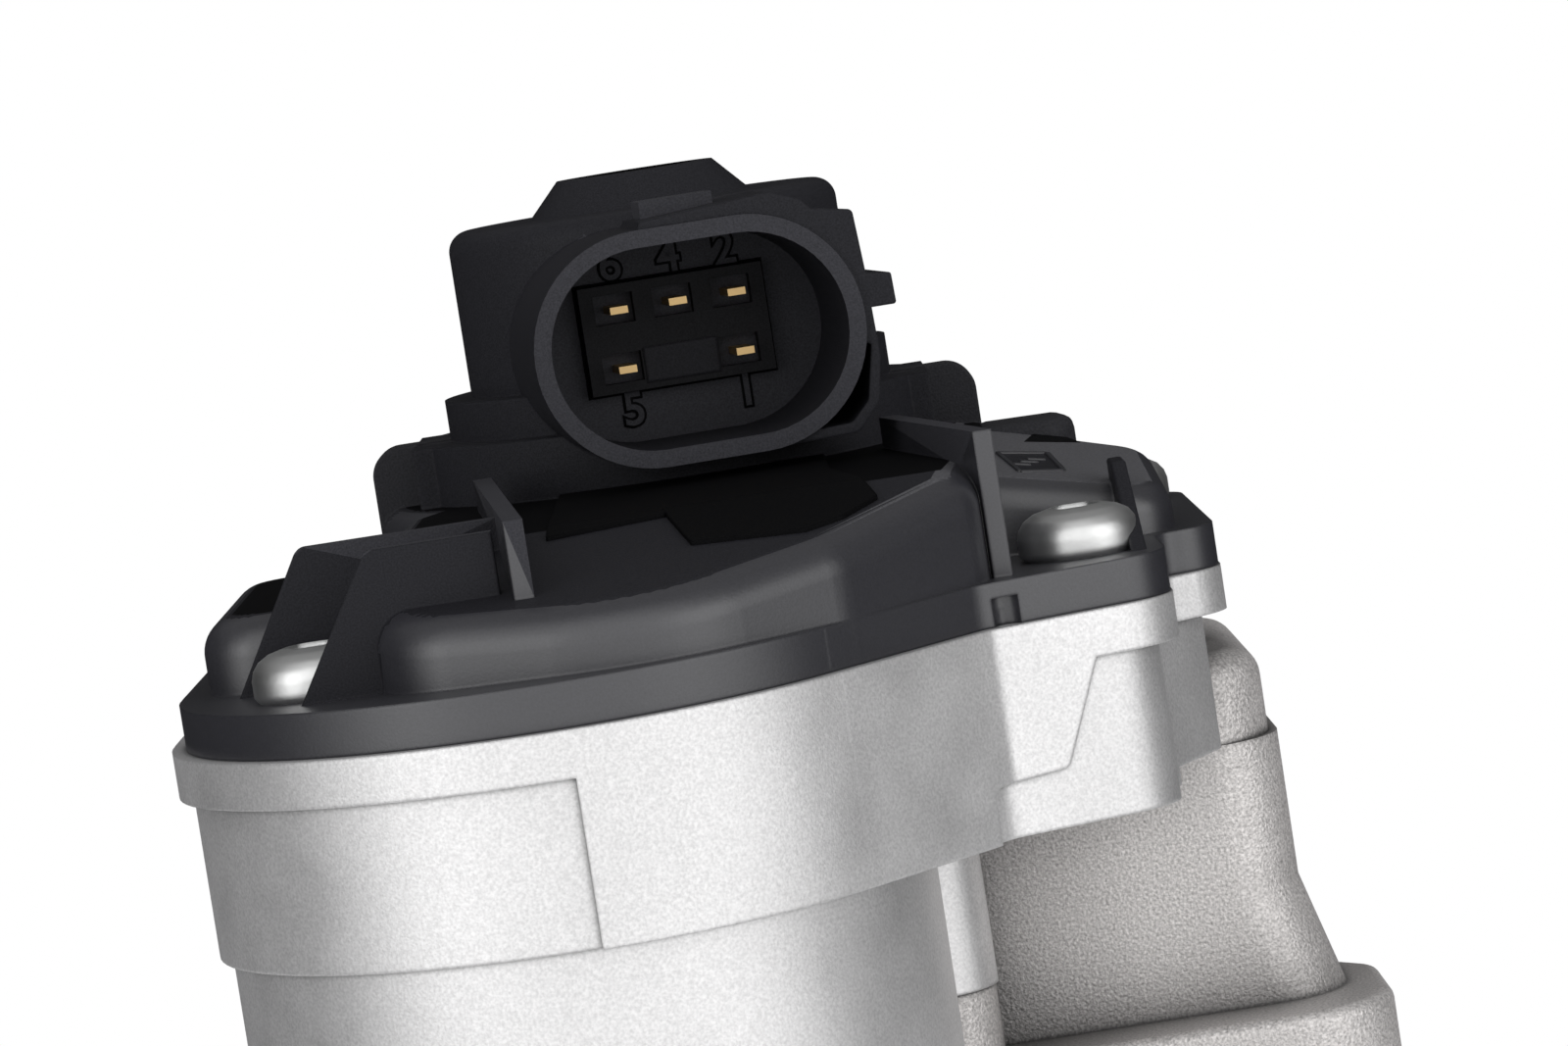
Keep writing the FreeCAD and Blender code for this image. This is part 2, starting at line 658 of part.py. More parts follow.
seal = doc.addObject("Part::Torus", "cap_seal")
bind(seal, "Radius1", "barrel_bore_r-seal_wire/2")
bind(seal, "Radius2", "seal_wire/2")
place(seal, "motor_x", "motor_y", "barrel_end_z+0.75+seal_wire/2")
piece("motor_cap_seal", seal)
piece("motor_disc_spring", turned("disc_spring", [
    ("cap_spigot_r-4", "barrel_end_z+cap_spigot"), ("cap_spigot_r-1", "can_low-0.5"), ("cap_spigot_r-1", "can_low"), ("cap_spigot_r-4", "barrel_end_z+cap_spigot+0.5"),
], *M))


def screw(name, shank, head, low, seat, tall, x, y, recess):
    """Pan-head screw with a six-lobed recess, standing upright with its head on seat."""
    body = turned(name, [
        ("0", low), (shank, low), (shank, seat), ("(%s)*0.93" % head, seat), (head, "(%s)+(%s)*0.12" % (seat, tall)),
        (head, "(%s)+(%s)*0.45" % (seat, tall)), ("(%s)*0.96" % head, "(%s)+(%s)*0.63" % (seat, tall)),
        ("(%s)*0.86" % head, "(%s)+(%s)*0.8" % (seat, tall)), ("(%s)*0.7" % head, "(%s)+(%s)*0.92" % (seat, tall)),
        ("(%s)*0.45" % head, "(%s)+(%s)" % (seat, tall)), ("0", "(%s)+(%s)" % (seat, tall)),
    ], x, y)
    drive = doc.addObject("Part::Prism", name + "_drive")
    drive.Polygon = 6
    bind(drive, "Circumradius", recess)
    bind(drive, "Height", tall)
    place(drive, x, y, "(%s)+(%s)*0.4" % (seat, tall))
    return cut(name + "_cut", body, [drive])


def many(label, items):
    item = doc.addObject("Part::Compound", label + "_set")
    item.Links = items
    return piece(label, item)


many("motor_screws", [
    screw("motor_screw_%d" % i, "motor_screw_r", "motor_screw_head_r", "plate_low", "floor_top", "motor_screw_head", x, y, "1.2")
    for i, (x, y) in enumerate(motor_spots)])
many("body_screws", [
    screw("body_screw_%d" % i, "body_screw_r", "body_screw_head_r", "floor_top-body_screw_head-0.2-body_screw_long",
          "floor_top-body_screw_head-0.2", "body_screw_head", x, y, "1.6") for i, (x, y) in enumerate(body_spots)])
many("cover_screws", [
    screw("cover_screw_%d" % i, "screw_r", "screw_head_r", "joint_z+flange_thick-screw_long", "joint_z+flange_thick",
          "screw_head", x, y, "1.7") for i, (x, y) in enumerate(cover_spots)])


# Gears: straight-sided approximation of the involute, two lines to a flank
def gear(name, module, teeth, bore, low, high, x, y, phase, hub=None):
    size = num(module)
    count = int(num(teeth))
    angle = math.radians(num("pressure_angle"))
    pitch_r = size * count / 2
    base_r = pitch_r * math.cos(angle)
    root_r = pitch_r - 1.25 * size
    tip_r = pitch_r + size
    half_pitch = math.pi / (2 * count) - num("gear_backlash") / (4 * pitch_r)
    inv_pitch = math.tan(angle) - angle

    def half_angle(radius):
        steep = math.acos(min(1.0, base_r / radius))
        return half_pitch + inv_pitch - (math.tan(steep) - steep)

    low_r = max(base_r, root_r)
    steps = [low_r, (low_r + pitch_r) / 2, pitch_r, (pitch_r + tip_r) / 2, tip_r]
    points = []
    for tooth in range(count):
        middle = phase + 2 * math.pi * tooth / count
        side = [(r, half_angle(r)) for r in steps]
        if base_r > root_r:
            side.insert(0, (root_r, half_angle(low_r) + 0.02))
        for radius, half in side:
            points.append(Vector(radius * math.cos(middle - half), radius * math.sin(middle - half), 0))
        for radius, half in reversed(side):
            points.append(Vector(radius * math.cos(middle + half), radius * math.sin(middle + half), 0))
    face = Part.Face(Part.makePolygon(points + [points[0]]))
    bottom = num(low)
    body = face.extrude(Vector(0, 0, num(high) - bottom))
    if hub:
        body = body.fuse(Part.makeCylinder(num(hub[0]), num(hub[1]) - bottom))
        high = hub[1]
    body = body.cut(Part.makeCylinder(num(bore), num(high) - bottom + 2, Vector(0, 0, -1)))
    item = doc.addObject("Part::Feature", name)
    item.Shape = body
    item.Placement = FreeCAD.Placement(Vector(num(x), num(y), bottom), FreeCAD.Rotation())
    return item


wheel_spot = Vector(num("wheel_x"), num("wheel_y"), 0)
motor_spot = Vector(num("motor_x"), num("motor_y"), 0)
to_wheel = math.atan2(wheel_spot.y - motor_spot.y, wheel_spot.x - motor_spot.x)
to_output = math.atan2(-wheel_spot.y, -wheel_spot.x)
W = ("wheel_x", "wheel_y")
piece("motor_pinion", gear("pinion_gear", "module_fine", "pinion_teeth", "shaft_r", "joint_z+motor_pinion_low",
                           "joint_z+motor_pinion_low+motor_pinion_high", *M, to_wheel))
big_wheel = gear("wheel_gear", "module_fine", "wheel_teeth", "boss_core_r+0.3", "joint_z+wheel_low", "joint_z+wheel_low+wheel_thick",
                 *W, to_wheel + math.pi + math.pi / num("wheel_teeth"))
web_high = ring("web_high", "6.5", "13.2", "joint_z+wheel_low+wheel_thick-1.1", "joint_z+wheel_low+wheel_thick+1", *W)
piece("intermediate_wheel", cut("wheel_cut", big_wheel, [web_high]))
piece("intermediate_pinion", gear("small_pinion", "module_coarse", "pinion_teeth", "axle_r+run_gap", "joint_z+small_pinion_low",
                                  "joint_z+wheel_low-0.1", *W, to_output, ("boss_core_r+0.3", "joint_z+wheel_low+wheel_thick+0.1")))
out_gear = gear("output_ring", "module_coarse", "output_teeth", "cam_out_r", "joint_z+output_low", "joint_z+output_low+output_thick",
                "0", "0", to_output + math.pi + math.pi / num("output_teeth"))
out_web = ring("output_web", "13", "18", "joint_z+output_low+output_thick-1.3", "joint_z+output_low+output_thick+1")
piece("output_gear", cut("output_cut", out_gear, [out_web]))
piece("intermediate_axle", turned("axle", [
    ("0", "joint_z+small_pinion_low-axle_foot"), ("axle_r", "joint_z+small_pinion_low-axle_foot"), ("axle_r", "joint_z+axle_top_rise"), ("0", "joint_z+axle_top_rise"),
], *W))

# Cam drive on the valve axis
guide = turned("guide", [
    ("stem_r+0.4", "floor_low"), ("guide_out_r", "floor_low"), ("guide_out_r", "joint_z+ring_low"),
    ("guide_out_r-ring_groove", "joint_z+ring_low"), ("guide_out_r-ring_groove", "joint_z+ring_low+ring_thick"),
    ("guide_out_r", "joint_z+ring_low+ring_thick"), ("guide_out_r", "joint_z+guide_top_rise"), ("guide_in_r", "joint_z+guide_top_rise"),
    ("guide_in_r", "spring_low"), ("stem_r+0.4", "spring_low"),
])
guide_slot = [
    cylinder("slot_high", "cross_r+slot_gap", "0-10", "10", "0", "cross_z+0.3", "x"),
    cylinder("slot_low", "cross_r+slot_gap", "0-10", "10", "0", "cross_z-valve_lift-0.3", "x"),
    box("slot_middle", ("0-10", "10"), ("0-cross_r-slot_gap", "cross_r+slot_gap"), ("cross_z-valve_lift-0.3", "cross_z+0.3")),
]
piece("guide_sleeve", cut("guide_cut", guide, guide_slot))
piece("cam_retaining_ring", ring("keeper", "guide_out_r-ring_groove", "ring_out_r", "joint_z+ring_low", "joint_z+ring_low+ring_thick"))
piece("thrust_washer", ring("washer", "guide_out_r+run_gap", "cam_out_r", "floor_top", "floor_top+washer_thick"))


def cam_shape():
    inner = num("guide_out_r+run_gap")
    outer = num("cam_out_r")
    low = num("joint_z+output_low")
    tube = Part.makeCylinder(outer, num("joint_z+cam_top_rise") - low, Vector(0, 0, low))
    tube = tube.cut(Part.makeCylinder(inner, 40, Vector(0, 0, low - 1)))
    turn = num("cam_turn")
    rise = num("valve_lift") / turn
    margin = num("cam_margin")
    track = num("roller_r+slot_gap")
    first = -turn - margin
    pitch = rise * 360
    height = rise * (turn + 2 * margin)
    middle = (inner + outer) / 2
    slope = math.atan(pitch / (2 * math.pi * middle))
    half = track / math.cos(slope)
    start = num("cross_z") + rise * first
    helix = Part.makeHelix(pitch, height, middle)
    corners = [Vector(inner - 1, 0, -half), Vector(outer + 1, 0, -half), Vector(outer + 1, 0, half), Vector(inner - 1, 0, half)]
    section = Part.makePolygon(corners + [corners[0]])
    band = Part.Wire(helix).makePipeShell([section], True, True)
    slots = []
    for side in (0, 180):
        track_band = band.copy()
        track_band.rotate(Vector(0, 0, 0), Vector(0, 0, 1), first + side)
        track_band.translate(Vector(0, 0, start))
        slots.append(track_band)
        for degrees in (first, margin):
            ball = Part.makeCylinder(track, outer - inner + 4, Vector(inner - 2, 0, 0), Vector(1, 0, 0))
            ball.rotate(Vector(0, 0, 0), Vector(0, 0, 1), degrees + side)
            ball.translate(Vector(0, 0, num("cross_z") + rise * degrees))
            slots.append(ball)
    return tube.cut(slots[0].multiFuse(slots[1:]))


cam = doc.addObject("Part::Feature", "cam")
cam.Shape = cam_shape()
piece("cam_sleeve", cam)
stem = turned("stem", [("0", "seat_low-disc_thick"), ("stem_r", "seat_low-disc_thick"), ("stem_r", "joint_z+stem_top_rise"), ("0", "joint_z+stem_top_rise")])
piece("valve_stem", cut("stem_cut", stem, [cylinder("cross_hole", "cross_r", "0-10", "10", "0", "cross_z", "x")]))
piece("cross_pin", cylinder("cross_bar", "cross_r", "0-roller_out_x-0.05", "roller_out_x+0.05", "0", "cross_z", "x"))


def roller(name, near, far):
    wheel = cylinder(name + "_rim", "roller_r", near, far, "0", "cross_z", "x")
    hole = cylinder(name + "_eye", "cross_r+run_gap", "0-20", "20", "0", "cross_z", "x")
    return cut(name, wheel, [hole])


piece("roller_right", roller("right_roller", "roller_in_x", "roller_out_x"))
piece("roller_left", roller("left_roller", "0-roller_out_x", "0-roller_in_x"))
piece("spring_retainer", ring("retainer", "stem_r", "retainer_r", "spring_high", "spring_high+retainer_thick"))


def spring_shape():
    wire = num("spring_wire") / 2
    middle = num("spring_out_r") - wire
    low = num("spring_low") + wire
    rise = num("spring_high") - wire - low
    helix = Part.makeHelix(rise / num("spring_turns"), rise, middle)
    sides = 8
    corners = []
    for i in range(sides):
        angle = 2 * math.pi * i / sides
        corners.append(Vector(middle + wire * math.cos(angle), 0, wire * math.sin(angle)))
    section = Part.makePolygon(corners + [corners[0]])
    coil = Part.Wire(helix).makePipeShell([section], True, True)
    coil.translate(Vector(0, 0, low))
    return coil


spring = doc.addObject("Part::Feature", "coil")
spring.Shape = spring_shape()
piece("return_spring", spring)
piece("magnet_carrier", turned("carrier", [
    ("stem_r", "joint_z+stem_top_rise-carrier_skirt"), ("carrier_r", "joint_z+stem_top_rise-carrier_skirt"), ("carrier_r", "joint_z+carrier_top_rise"),
    ("magnet_r", "joint_z+carrier_top_rise"), ("magnet_r", "joint_z+carrier_top_rise-3"), ("0", "joint_z+carrier_top_rise-3"),
    ("0", "joint_z+stem_top_rise"), ("stem_r", "joint_z+stem_top_rise"),
]))
piece("sensor_magnet", turned("magnet", [
    ("0", "joint_z+carrier_top_rise-3"), ("magnet_r", "joint_z+carrier_top_rise-3"), ("magnet_r", "joint_z+carrier_top_rise-3+magnet_high"),
    ("0", "joint_z+carrier_top_rise-3+magnet_high"),
]))

# Valve body and what is pressed into it
piece("valve_disc", turned("disc", [
    ("stem_r", "seat_low-disc_thick"), ("disc_r-0.6", "seat_low-disc_thick"), ("disc_r", "seat_low-disc_thick+0.6"), ("disc_r", "seat_low"),
    ("disc_hub_r+1", "seat_low"), ("disc_hub_r-1", "seat_low+disc_hub_high"), ("stem_r", "seat_low+disc_hub_high"),
]))
piece("seat_ring", turned("seat", [
    ("seat_in_r", "seat_low"), ("port_r", "seat_low"), ("port_r", "seat_high"), ("seat_in_r+0.8", "seat_high"), ("seat_in_r", "seat_high-0.8"),
]))
piece("stem_bush", ring("bush", "stem_r+run_gap", "bush_r", "bush_low", "bush_high"))
piece("stem_seal", ring("stem_lip", "stem_r+0.02", "stem_seal_r", "bush_high", "body_top-0.2"))
piece("body_gasket", ring("gasket_ring", "guide_out_r", "body_core_r-0.4", "body_top", "floor_low"))
body_line = [
    ("body_left_x", "0-body_half_y", 6), ("body_right_x", "0-body_half_y", 5), ("body_right_x", "body_half_y", 5), ("body_left_x", "body_half_y", 6)]
shoulder_line = [
    ("shoulder_left_x", "0-body_half_y", 1.5), ("body_right_x-0.6", "0-body_half_y", 5), ("body_right_x-0.6", "body_half_y", 5), ("shoulder_left_x", "body_half_y", 1.5)]
base_line = [
    ("base_left_x", "0-base_half_y", 9), ("base_right_x", "0-base_half_y", 7), ("base_right_x", "-4", 4), ("base_right_x-4.5", "3", 4),
    ("base_right_x-4.5", "base_half_y", 5), ("base_left_x", "base_half_y", 9)]
upper = prism("upper", body_line, "base_top-2", "body_top")
shoulder_raw = prism("shoulder", shoulder_line, "crease_z", "joint_z-shoulder_drop")
shoulder = rounded("shoulder_soft", shoulder_raw, "2.2", lambda edge: level(edge, num("joint_z-shoulder_drop")))
core_post = cylinder("core_post", "body_core_r", "base_top-2", "body_top")
flare_low = outline("flare_low", [(x.replace("body_right_x", "(body_right_x+2.5)"), y, r) for x, y, r in body_line])
bind(flare_low, "Placement.Base.z", "base_top-1")
flare_high = outline("flare_high", body_line)
bind(flare_high, "Placement.Base.z", "crease_z")
flare = doc.addObject("Part::Loft", "flare")
flare.Sections = [flare_low, flare_high]
flare.Solid = True
flare.Ruled = True
base_raw = prism("base", base_line, "0", "base_top")
base = rounded("base_soft", base_raw, "0.8", lambda edge: level(edge, num("base_top")))
lugs = [cylinder("lug_%d" % i, "lug_r" if i == 2 else "lug_front_r", "base_top-12", "body_boss_low", *spot) for i, spot in enumerate(body_spots)]
EARS = [(60, 0), (180, 1), (300, 2)]
ears = []
ear_holes = []
for degrees, i in EARS:
    spot = ("bolt_centre_x+bolt_circle_r*cos(%d deg)" % degrees, "bolt_circle_r*sin(%d deg)" % degrees)
    ears.append(cylinder("ear_%d" % i, "ear_r", "0", "ear_thick", *spot))
    ear_holes.append(cylinder("ear_hole_%d" % i, "ear_hole_r", "0-1", "ear_thick+1", *spot))
ear_arm = prism("ear_arm", [("21.3", "-28.6", 0), ("35.7", "-28.6", 0), ("40", "0", 0), ("35.7", "28.6", 0), ("21.3", "28.6", 0), ("10", "0", 0)], "0", "ear_thick")
ear_left = box("ear_left", ("bolt_centre_x-bolt_circle_r", "0"), ("0-ear_r", "ear_r"), ("0", "ear_thick"))
ear_left_open = box("ear_left_open", ("bolt_centre_x-bolt_circle_r-ear_r*2", "bolt_centre_x-bolt_circle_r"), ("0-ear_spot_r", "ear_spot_r"),
                    ("ear_thick", "ear_thick+ear_spot_high"))
body_solid = fuse("body_solid", [upper, shoulder, core_post, flare, base, ear_arm, ear_left] + lugs + ears)
body_tools = ear_holes + [
    cylinder("ear_left_spot", "ear_spot_r", "ear_thick", "ear_thick+ear_spot_high", "bolt_centre_x-bolt_circle_r", "0"),
    ear_left_open,
    cylinder("spigot", "spigot_r", "0-1", "spigot_deep"),
    cylinder("port", "port_r", "0", "seat_high"),
    cylinder("chamber", "chamber_r", "seat_high-1", "chamber_top"),
    cylinder("outlet", "outlet_r", "0-1", "duct_top", "outlet_x", "0"),
    box("duct", ("0", "outlet_x"), ("0-duct_half", "duct_half"), ("duct_low", "duct_top")),
    cylinder("bush_bore", "bush_r", "bush_low-1", "bush_high+1"),
    cylinder("seal_bore", "stem_seal_r", "bush_high", "body_top+1"),
    cylinder("scallop", "barrel_r+scallop_gap", "0-1", "joint_z", *M),
]
for i, spot in enumerate(body_spots):
    body_tools.append(cylinder("body_tap_%d" % i, "body_screw_r+thread_gap", "floor_top-body_screw_head-0.2-body_screw_long", "body_boss_low+1", *spot))
    body_tools.append(cylinder("hang_room_%d" % i, "body_boss_r+scallop_gap/2", "body_boss_low", "joint_z", *spot))
body_tools += shell("case_room", case_block, "case_gap", "floor_low-case_gap", "joint_z")
piece("valve_body", cut("body", body_solid, body_tools))

# Cover with tower and connector
DOME = [
    ("-20", "-46", 3), ("-18.5", "-58.5", 6), ("-2", "-62.6", 14), ("9.5", "-54.5", 6), ("18.6", "-44", 4), ("20.2", "-29.6", 0),
    ("20.2", "-4", 0), ("12", "8", 0), ("-12", "8", 0), ("-19.5", "-14", 0)]
RIGHT_DOME = [("17", "-29.6", 0), ("31.8", "-29.6", 3.5), ("31.8", "-12", 3.5), ("24.5", "-9", 0), ("21", "4", 3), ("14", "6", 0)]
LEFT_DOME = [("-30.8", "-43.4", 4), ("-17", "-43.4", 0), ("-17", "-14", 0), ("-30.8", "-14", 4)]
HATS = [
    ("dome", DOME, "dome_top", "2.4", [("-42", "dome_top"), ("-72", "dome_top-30*dome_slope")]),
    ("right_dome", RIGHT_DOME, "dome_top-0.2", "2.0", ("side_roof_x", "side_roof_y", "side_roof_top")),
    ("left_dome", LEFT_DOME, "left_top", "2.4", None)]
cover_parts = []
cover_room = []


def sloped(name, solid, slope, drop):
    """Take away what lies above the sloping front part of a roof."""
    (back_y, back_z), (front_y, front_z) = slope
    tool = standing(name + "_slope", [
        (front_y, "joint_z+(%s)-(%s)" % (front_z, drop), 0), (back_y, "joint_z+(%s)-(%s)" % (back_z, drop), 0),
        (back_y, "joint_z+dome_top+5", 0), (front_y, "joint_z+dome_top+5", 0)], "0-60", "60", "x")
    return cut(name + "_roof", solid, [tool])


def tilted(name, solid, spot, drop):
    """Take away what lies above the plane through spot that falls to the right and to the front."""
    x, y, top = spot
    turn = FreeCAD.Rotation(FreeCAD.Vector(0, 0, 1), FreeCAD.Vector(0 - num("side_rise_x"), 0 - num("side_rise_y"), 1))
    corner = turn.multVec(FreeCAD.Vector(-60, -60, 0))
    tool = doc.addObject("Part::Box", name + "_tilt")
    bind(tool, "Length", "120")
    bind(tool, "Width", "120")
    bind(tool, "Height", "40")
    tool.Placement = FreeCAD.Placement(FreeCAD.Vector(0, 0, 0), turn)
    bind(tool, "Placement.Base.x", "%s+(%.5f)" % (x, corner.x))
    bind(tool, "Placement.Base.y", "%s+(%.5f)" % (y, corner.y))
    bind(tool, "Placement.Base.z", "joint_z+%s-(%s)+(%.5f)" % (top, drop, corner.z))
    return cut(name + "_roof", solid, [tool])


def tilted_edge(edge, top, spot):
    """True for the outer edges of a tilted roof, but not for its fold with the flat part."""
    def on_plane(point):
        height = num("joint_z+" + spot[2]) + num("side_rise_x") * (point.x - num(spot[0]))
        return abs(height + num("side_rise_y") * (point.y - num(spot[1])) - point.z) < 0.01
    first, last = edge.FirstParameter, edge.LastParameter
    points = [edge.valueAt(first), edge.valueAt((first + last) / 2), edge.valueAt(last)]
    return all(on_plane(point) for point in points) != level(edge, num("joint_z+" + top))


def roof_edge(edge, top, slope):
    """True for the outer edges of a roof, flat or sloping, but not for the fold between the two."""
    middle = edge.valueAt((edge.FirstParameter + edge.LastParameter) / 2)
    if level(edge, num("joint_z+" + top)):
        return not slope or abs(middle.y - num(slope[0][0])) > 0.01
    if not slope:
        return False
    rise = (num("joint_z+(%s)" % slope[0][1]) - num("joint_z+(%s)" % slope[1][1])) / (num(slope[0][0]) - num(slope[1][0]))
    return abs(num("joint_z+(%s)" % slope[0][1]) + rise * (middle.y - num(slope[0][0])) - middle.z) < 0.01


for name, points, top, soft, slope in HATS:
    sketch = outline(name + "_line", points)
    hat = extrude(name + "_hat", sketch, "joint_z", "joint_z+(%s)" % top)
    hollow = grown(name + "_room", sketch, "0-cover_wall", "joint_z-1", "joint_z+%s-cover_wall" % top)
    outer_edge = roof_edge
    if name == "right_dome":
        hat = tilted(name, hat, slope, "0")
        hollow = tilted(name + "_inside", hollow, slope, "cover_wall")
        outer_edge = tilted_edge
    elif slope:
        hat = sloped(name, hat, slope, "0")
        hollow = sloped(name + "_inside", hollow, slope, "cover_wall")
    cover_parts.append(rounded(name + "_soft", hat, soft, lambda edge, top=top, slope=slope: outer_edge(edge, top, slope)))
    cover_room.append(hollow)
cover_parts += shell("flange", flange_block, "0", "joint_z", "joint_z+flange_thick")
cover_parts += [cylinder("flange_boss_%d" % i, "boss_r", "joint_z", "joint_z+flange_thick", *spot) for i, spot in enumerate(cover_spots)]
rear_raw = cylinder("rear_dome", "rear_dome_r", "joint_z", "joint_z+dome_top")
cover_parts.append(rounded("rear_soft", rear_raw, "2.0", lambda edge: level(edge, num("joint_z+dome_top"))))
cover_parts.append(cylinder("step_two", "step_two_r", "joint_z", "joint_z+step_two_top"))
cover_parts.append(box("step_two_flat", ("0-step_two_r", "step_two_r"), ("0-7", "7"), ("joint_z", "joint_z+step_two_top")))
cover_parts.append(cylinder("step_one", "step_one_r", "joint_z", "joint_z+step_one_top"))
drum_raw = cylinder("drum", "drum_r", "joint_z", "joint_z+drum_top")
cover_parts.append(rounded("drum_soft", drum_raw, "1.5", lambda edge: level(edge, num("joint_z+drum_top"))))
cover_parts.append(cone("crown", "crown_foot_r", "crown_top_r", "joint_z+drum_top", "joint_z+crown_top"))
cover_parts.append(standing("wings", [
    ("0-wing_x", "joint_z+flange_thick", 0), ("wing_x", "joint_z+flange_thick", 0), ("wing_x", "joint_z+wing_top", 2), ("0-wing_x", "joint_z+wing_top", 2),
], "0-wing_half", "wing_half", "y"))
LEFT_RIBS = [("left_rib_back", "-44.9", -28.8, -23.6), ("left_rib_front", "-55.2", -24.2, -18.7)]
for name, y, foot_x, top_x in LEFT_RIBS:
    cover_parts.append(standing(name, [
        (foot_x, "joint_z+flange_thick-0.5", 0), ("-11", "joint_z+flange_thick-0.5", 0), ("-11", "joint_z+left_rib_top", 0), (top_x, "joint_z+left_rib_top", 0.8),
    ], "0%s" % y, "0%s+rib_thick" % y, "y"))
cover_parts.append(prism("cross_rib", [("-13.6", "-16", 0), ("-10.1", "-57", 0), ("-8.9", "-57", 0), ("-12.4", "-16", 0)], "joint_z+flange_thick", "joint_z+rib_top"))
cover_parts.append(prism("right_rib", [("13.9", "-16", 0), ("19.0", "-42.6", 0), ("20.2", "-42.6", 0), ("15.1", "-16", 0)], "joint_z+flange_thick", "joint_z+rib_top"))
cover_parts.append(standing("far_rib", [
    ("-27", "joint_z+flange_thick-0.5", 0), ("-27", "joint_z+6.6", 0), ("-31", "joint_z+6.6", 0), ("-39.6", "joint_z+flange_thick-0.5", 0),
], "28.0", "28.0+rib_thick*0.8", "x"))
SHROUD = [
    ("plug_x-plug_wide/2", "plug_z-plug_tall/2", 7.7), ("plug_x+plug_wide/2", "plug_z-plug_tall/2", 7.7),
    ("plug_x+plug_wide/2", "plug_z+plug_tall/2", 7.7), ("plug_x-plug_wide/2", "plug_z+plug_tall/2", 7.7)]
SOCKET = [
    ("plug_x+plug_wall-plug_wide/2", "plug_z+plug_wall-plug_tall/2", 6.55), ("plug_x+plug_wide/2-plug_wall", "plug_z+plug_wall-plug_tall/2", 6.55),
    ("plug_x+plug_wide/2-plug_wall", "plug_z+plug_tall/2-plug_wall", 6.55), ("plug_x+plug_wall-plug_wide/2", "plug_z+plug_tall/2-plug_wall", 6.55)]
SKIRT = [
    ("-5", "4", 0), ("-3", "8.1", 0), ("5.67", "8.75", 0.5), ("7.72", "7.92", 0), ("8.28", "7.25", 0), ("9.36", "7.02", 0), ("10.97", "6.78", 0.4),
    ("11.25", "2.5", 0), ("12.9", "2.3", 0.2), ("12.97", "0.2", 0.2), ("11.3", "0.2", 0), ("11.4", "-3", 0), ("10.9", "-6", 1), ("9.3", "-7.8", 1),
    ("2.8", "-7.9", 0), ("2", "-4", 0)]
SKIRT_GAP = [
    ("10.9", "-2.2", 0), ("10.2", "-5.8", 0.7), ("8.9", "-7.1", 0.7), ("4.5", "-7.25", 0), ("4.3", "-4", 0), ("9", "-1", 0)]


def lifted(points):
    return [(x, "plug_height+0.2+(%s)" % z, r) for x, z, r in points]


shroud = standing("shroud", [(x, "joint_z+(%s)" % z, r) for x, z, r in SHROUD], "0-plug_rim", "0-8", "y")
skirt = standing("skirt", lifted(SKIRT), "0-skirt_front", "0-skirt_back", "y")
skirt_gap = standing("skirt_gap", lifted(SKIRT_GAP), "0-skirt_front-1", "0-skirt_back-1.5", "y")
skirt_open = cut("skirt_open", skirt, [skirt_gap])
tab = box("tab", ("0-2.45", "2.45"), ("0-plug_rim+4.4", "0-plug_rim+8.6"), ("plug_height+6.5", "plug_height+plug_tall/2+1.7"))
plug = fuse("plug", [shroud, skirt_open, tab])
socket = standing("socket", [(x, "joint_z+(%s)" % z, r) for x, z, r in SOCKET], "0-plug_rim-1", "plug_floor_y", "y")
PINS = [("0-pin_pitch", 1), ("0", 1), ("pin_pitch", 1), ("0-pin_pitch", -1), ("pin_pitch", -1)]
pin_boxes = []
pin_holes = []
for i, (x, side) in enumerate(PINS):
    x = "block_x+(%s)" % x
    z = "plug_height+block_rise+(%d)*pin_pitch/2" % side
    inner_y = "0-9.2" if side > 0 else "0-7.9"
    wide = ("(%s)-pin_wide/2" % x, "(%s)+pin_wide/2" % x)
    high = ("%s-pin_thick/2" % z, "%s+pin_thick/2" % z)
    blade = box("pin_%d" % i, wide, ("plug_floor_y-block_thick-pin_out", inner_y), high)
    leg = box("leg_%d" % i, wide, ("%s-pin_thick" % inner_y, inner_y), ("%s-pin_thick/2" % z, "joint_z+board_low"))
    pin_boxes.append(fuse("terminal_%d" % i, [blade, leg]))
    pin_holes.append(box("pin_hole_%d" % i, wide, ("plug_floor_y-3", "0-9"), high))


def yawed(item):
    item.Placement = FreeCAD.Placement(Vector(0, 0, 0), FreeCAD.Rotation(Vector(0, 0, 1), 0))
    bind(item, "Placement.Rotation.Angle", "plug_yaw")
    return item


plug_all = yawed(plug)
pins_all = doc.addObject("Part::Compound", "pins_set")
pins_all.Links = pin_boxes
piece("connector_pins", yawed(pins_all))
slab = box("slab", ("block_x-block_wide/2", "block_x+block_wide/2"), ("plug_floor_y-block_thick", "plug_floor_y"),
           ("plug_height+block_rise-block_tall/2", "plug_height+block_rise+block_tall/2"))
cells = []
for i, (x, side) in enumerate(PINS):
    x = "block_x+(%s)" % x
    z = "plug_height+block_rise+(%d)*pin_pitch/2" % side
    cells.append(box("cell_%d" % i, ("(%s)-cell_wide/2" % x, "(%s)+cell_wide/2" % x), ("plug_floor_y-5", "plug_floor_y+1"), ("%s-cell_tall/2" % z, "%s+cell_tall/2" % z)))
piece("terminal_block", yawed(cut("block", slab, cells)))
socket_all = yawed(fuse("socket_all", [socket] + pin_holes))
axle_boss = cylinder("axle_boss", "boss_r-0.9", "joint_z+wheel_low+wheel_thick+0.4", "joint_z+dome_top-1", *W)
cover_solid = fuse("cover_solid", cover_parts + [plug_all])
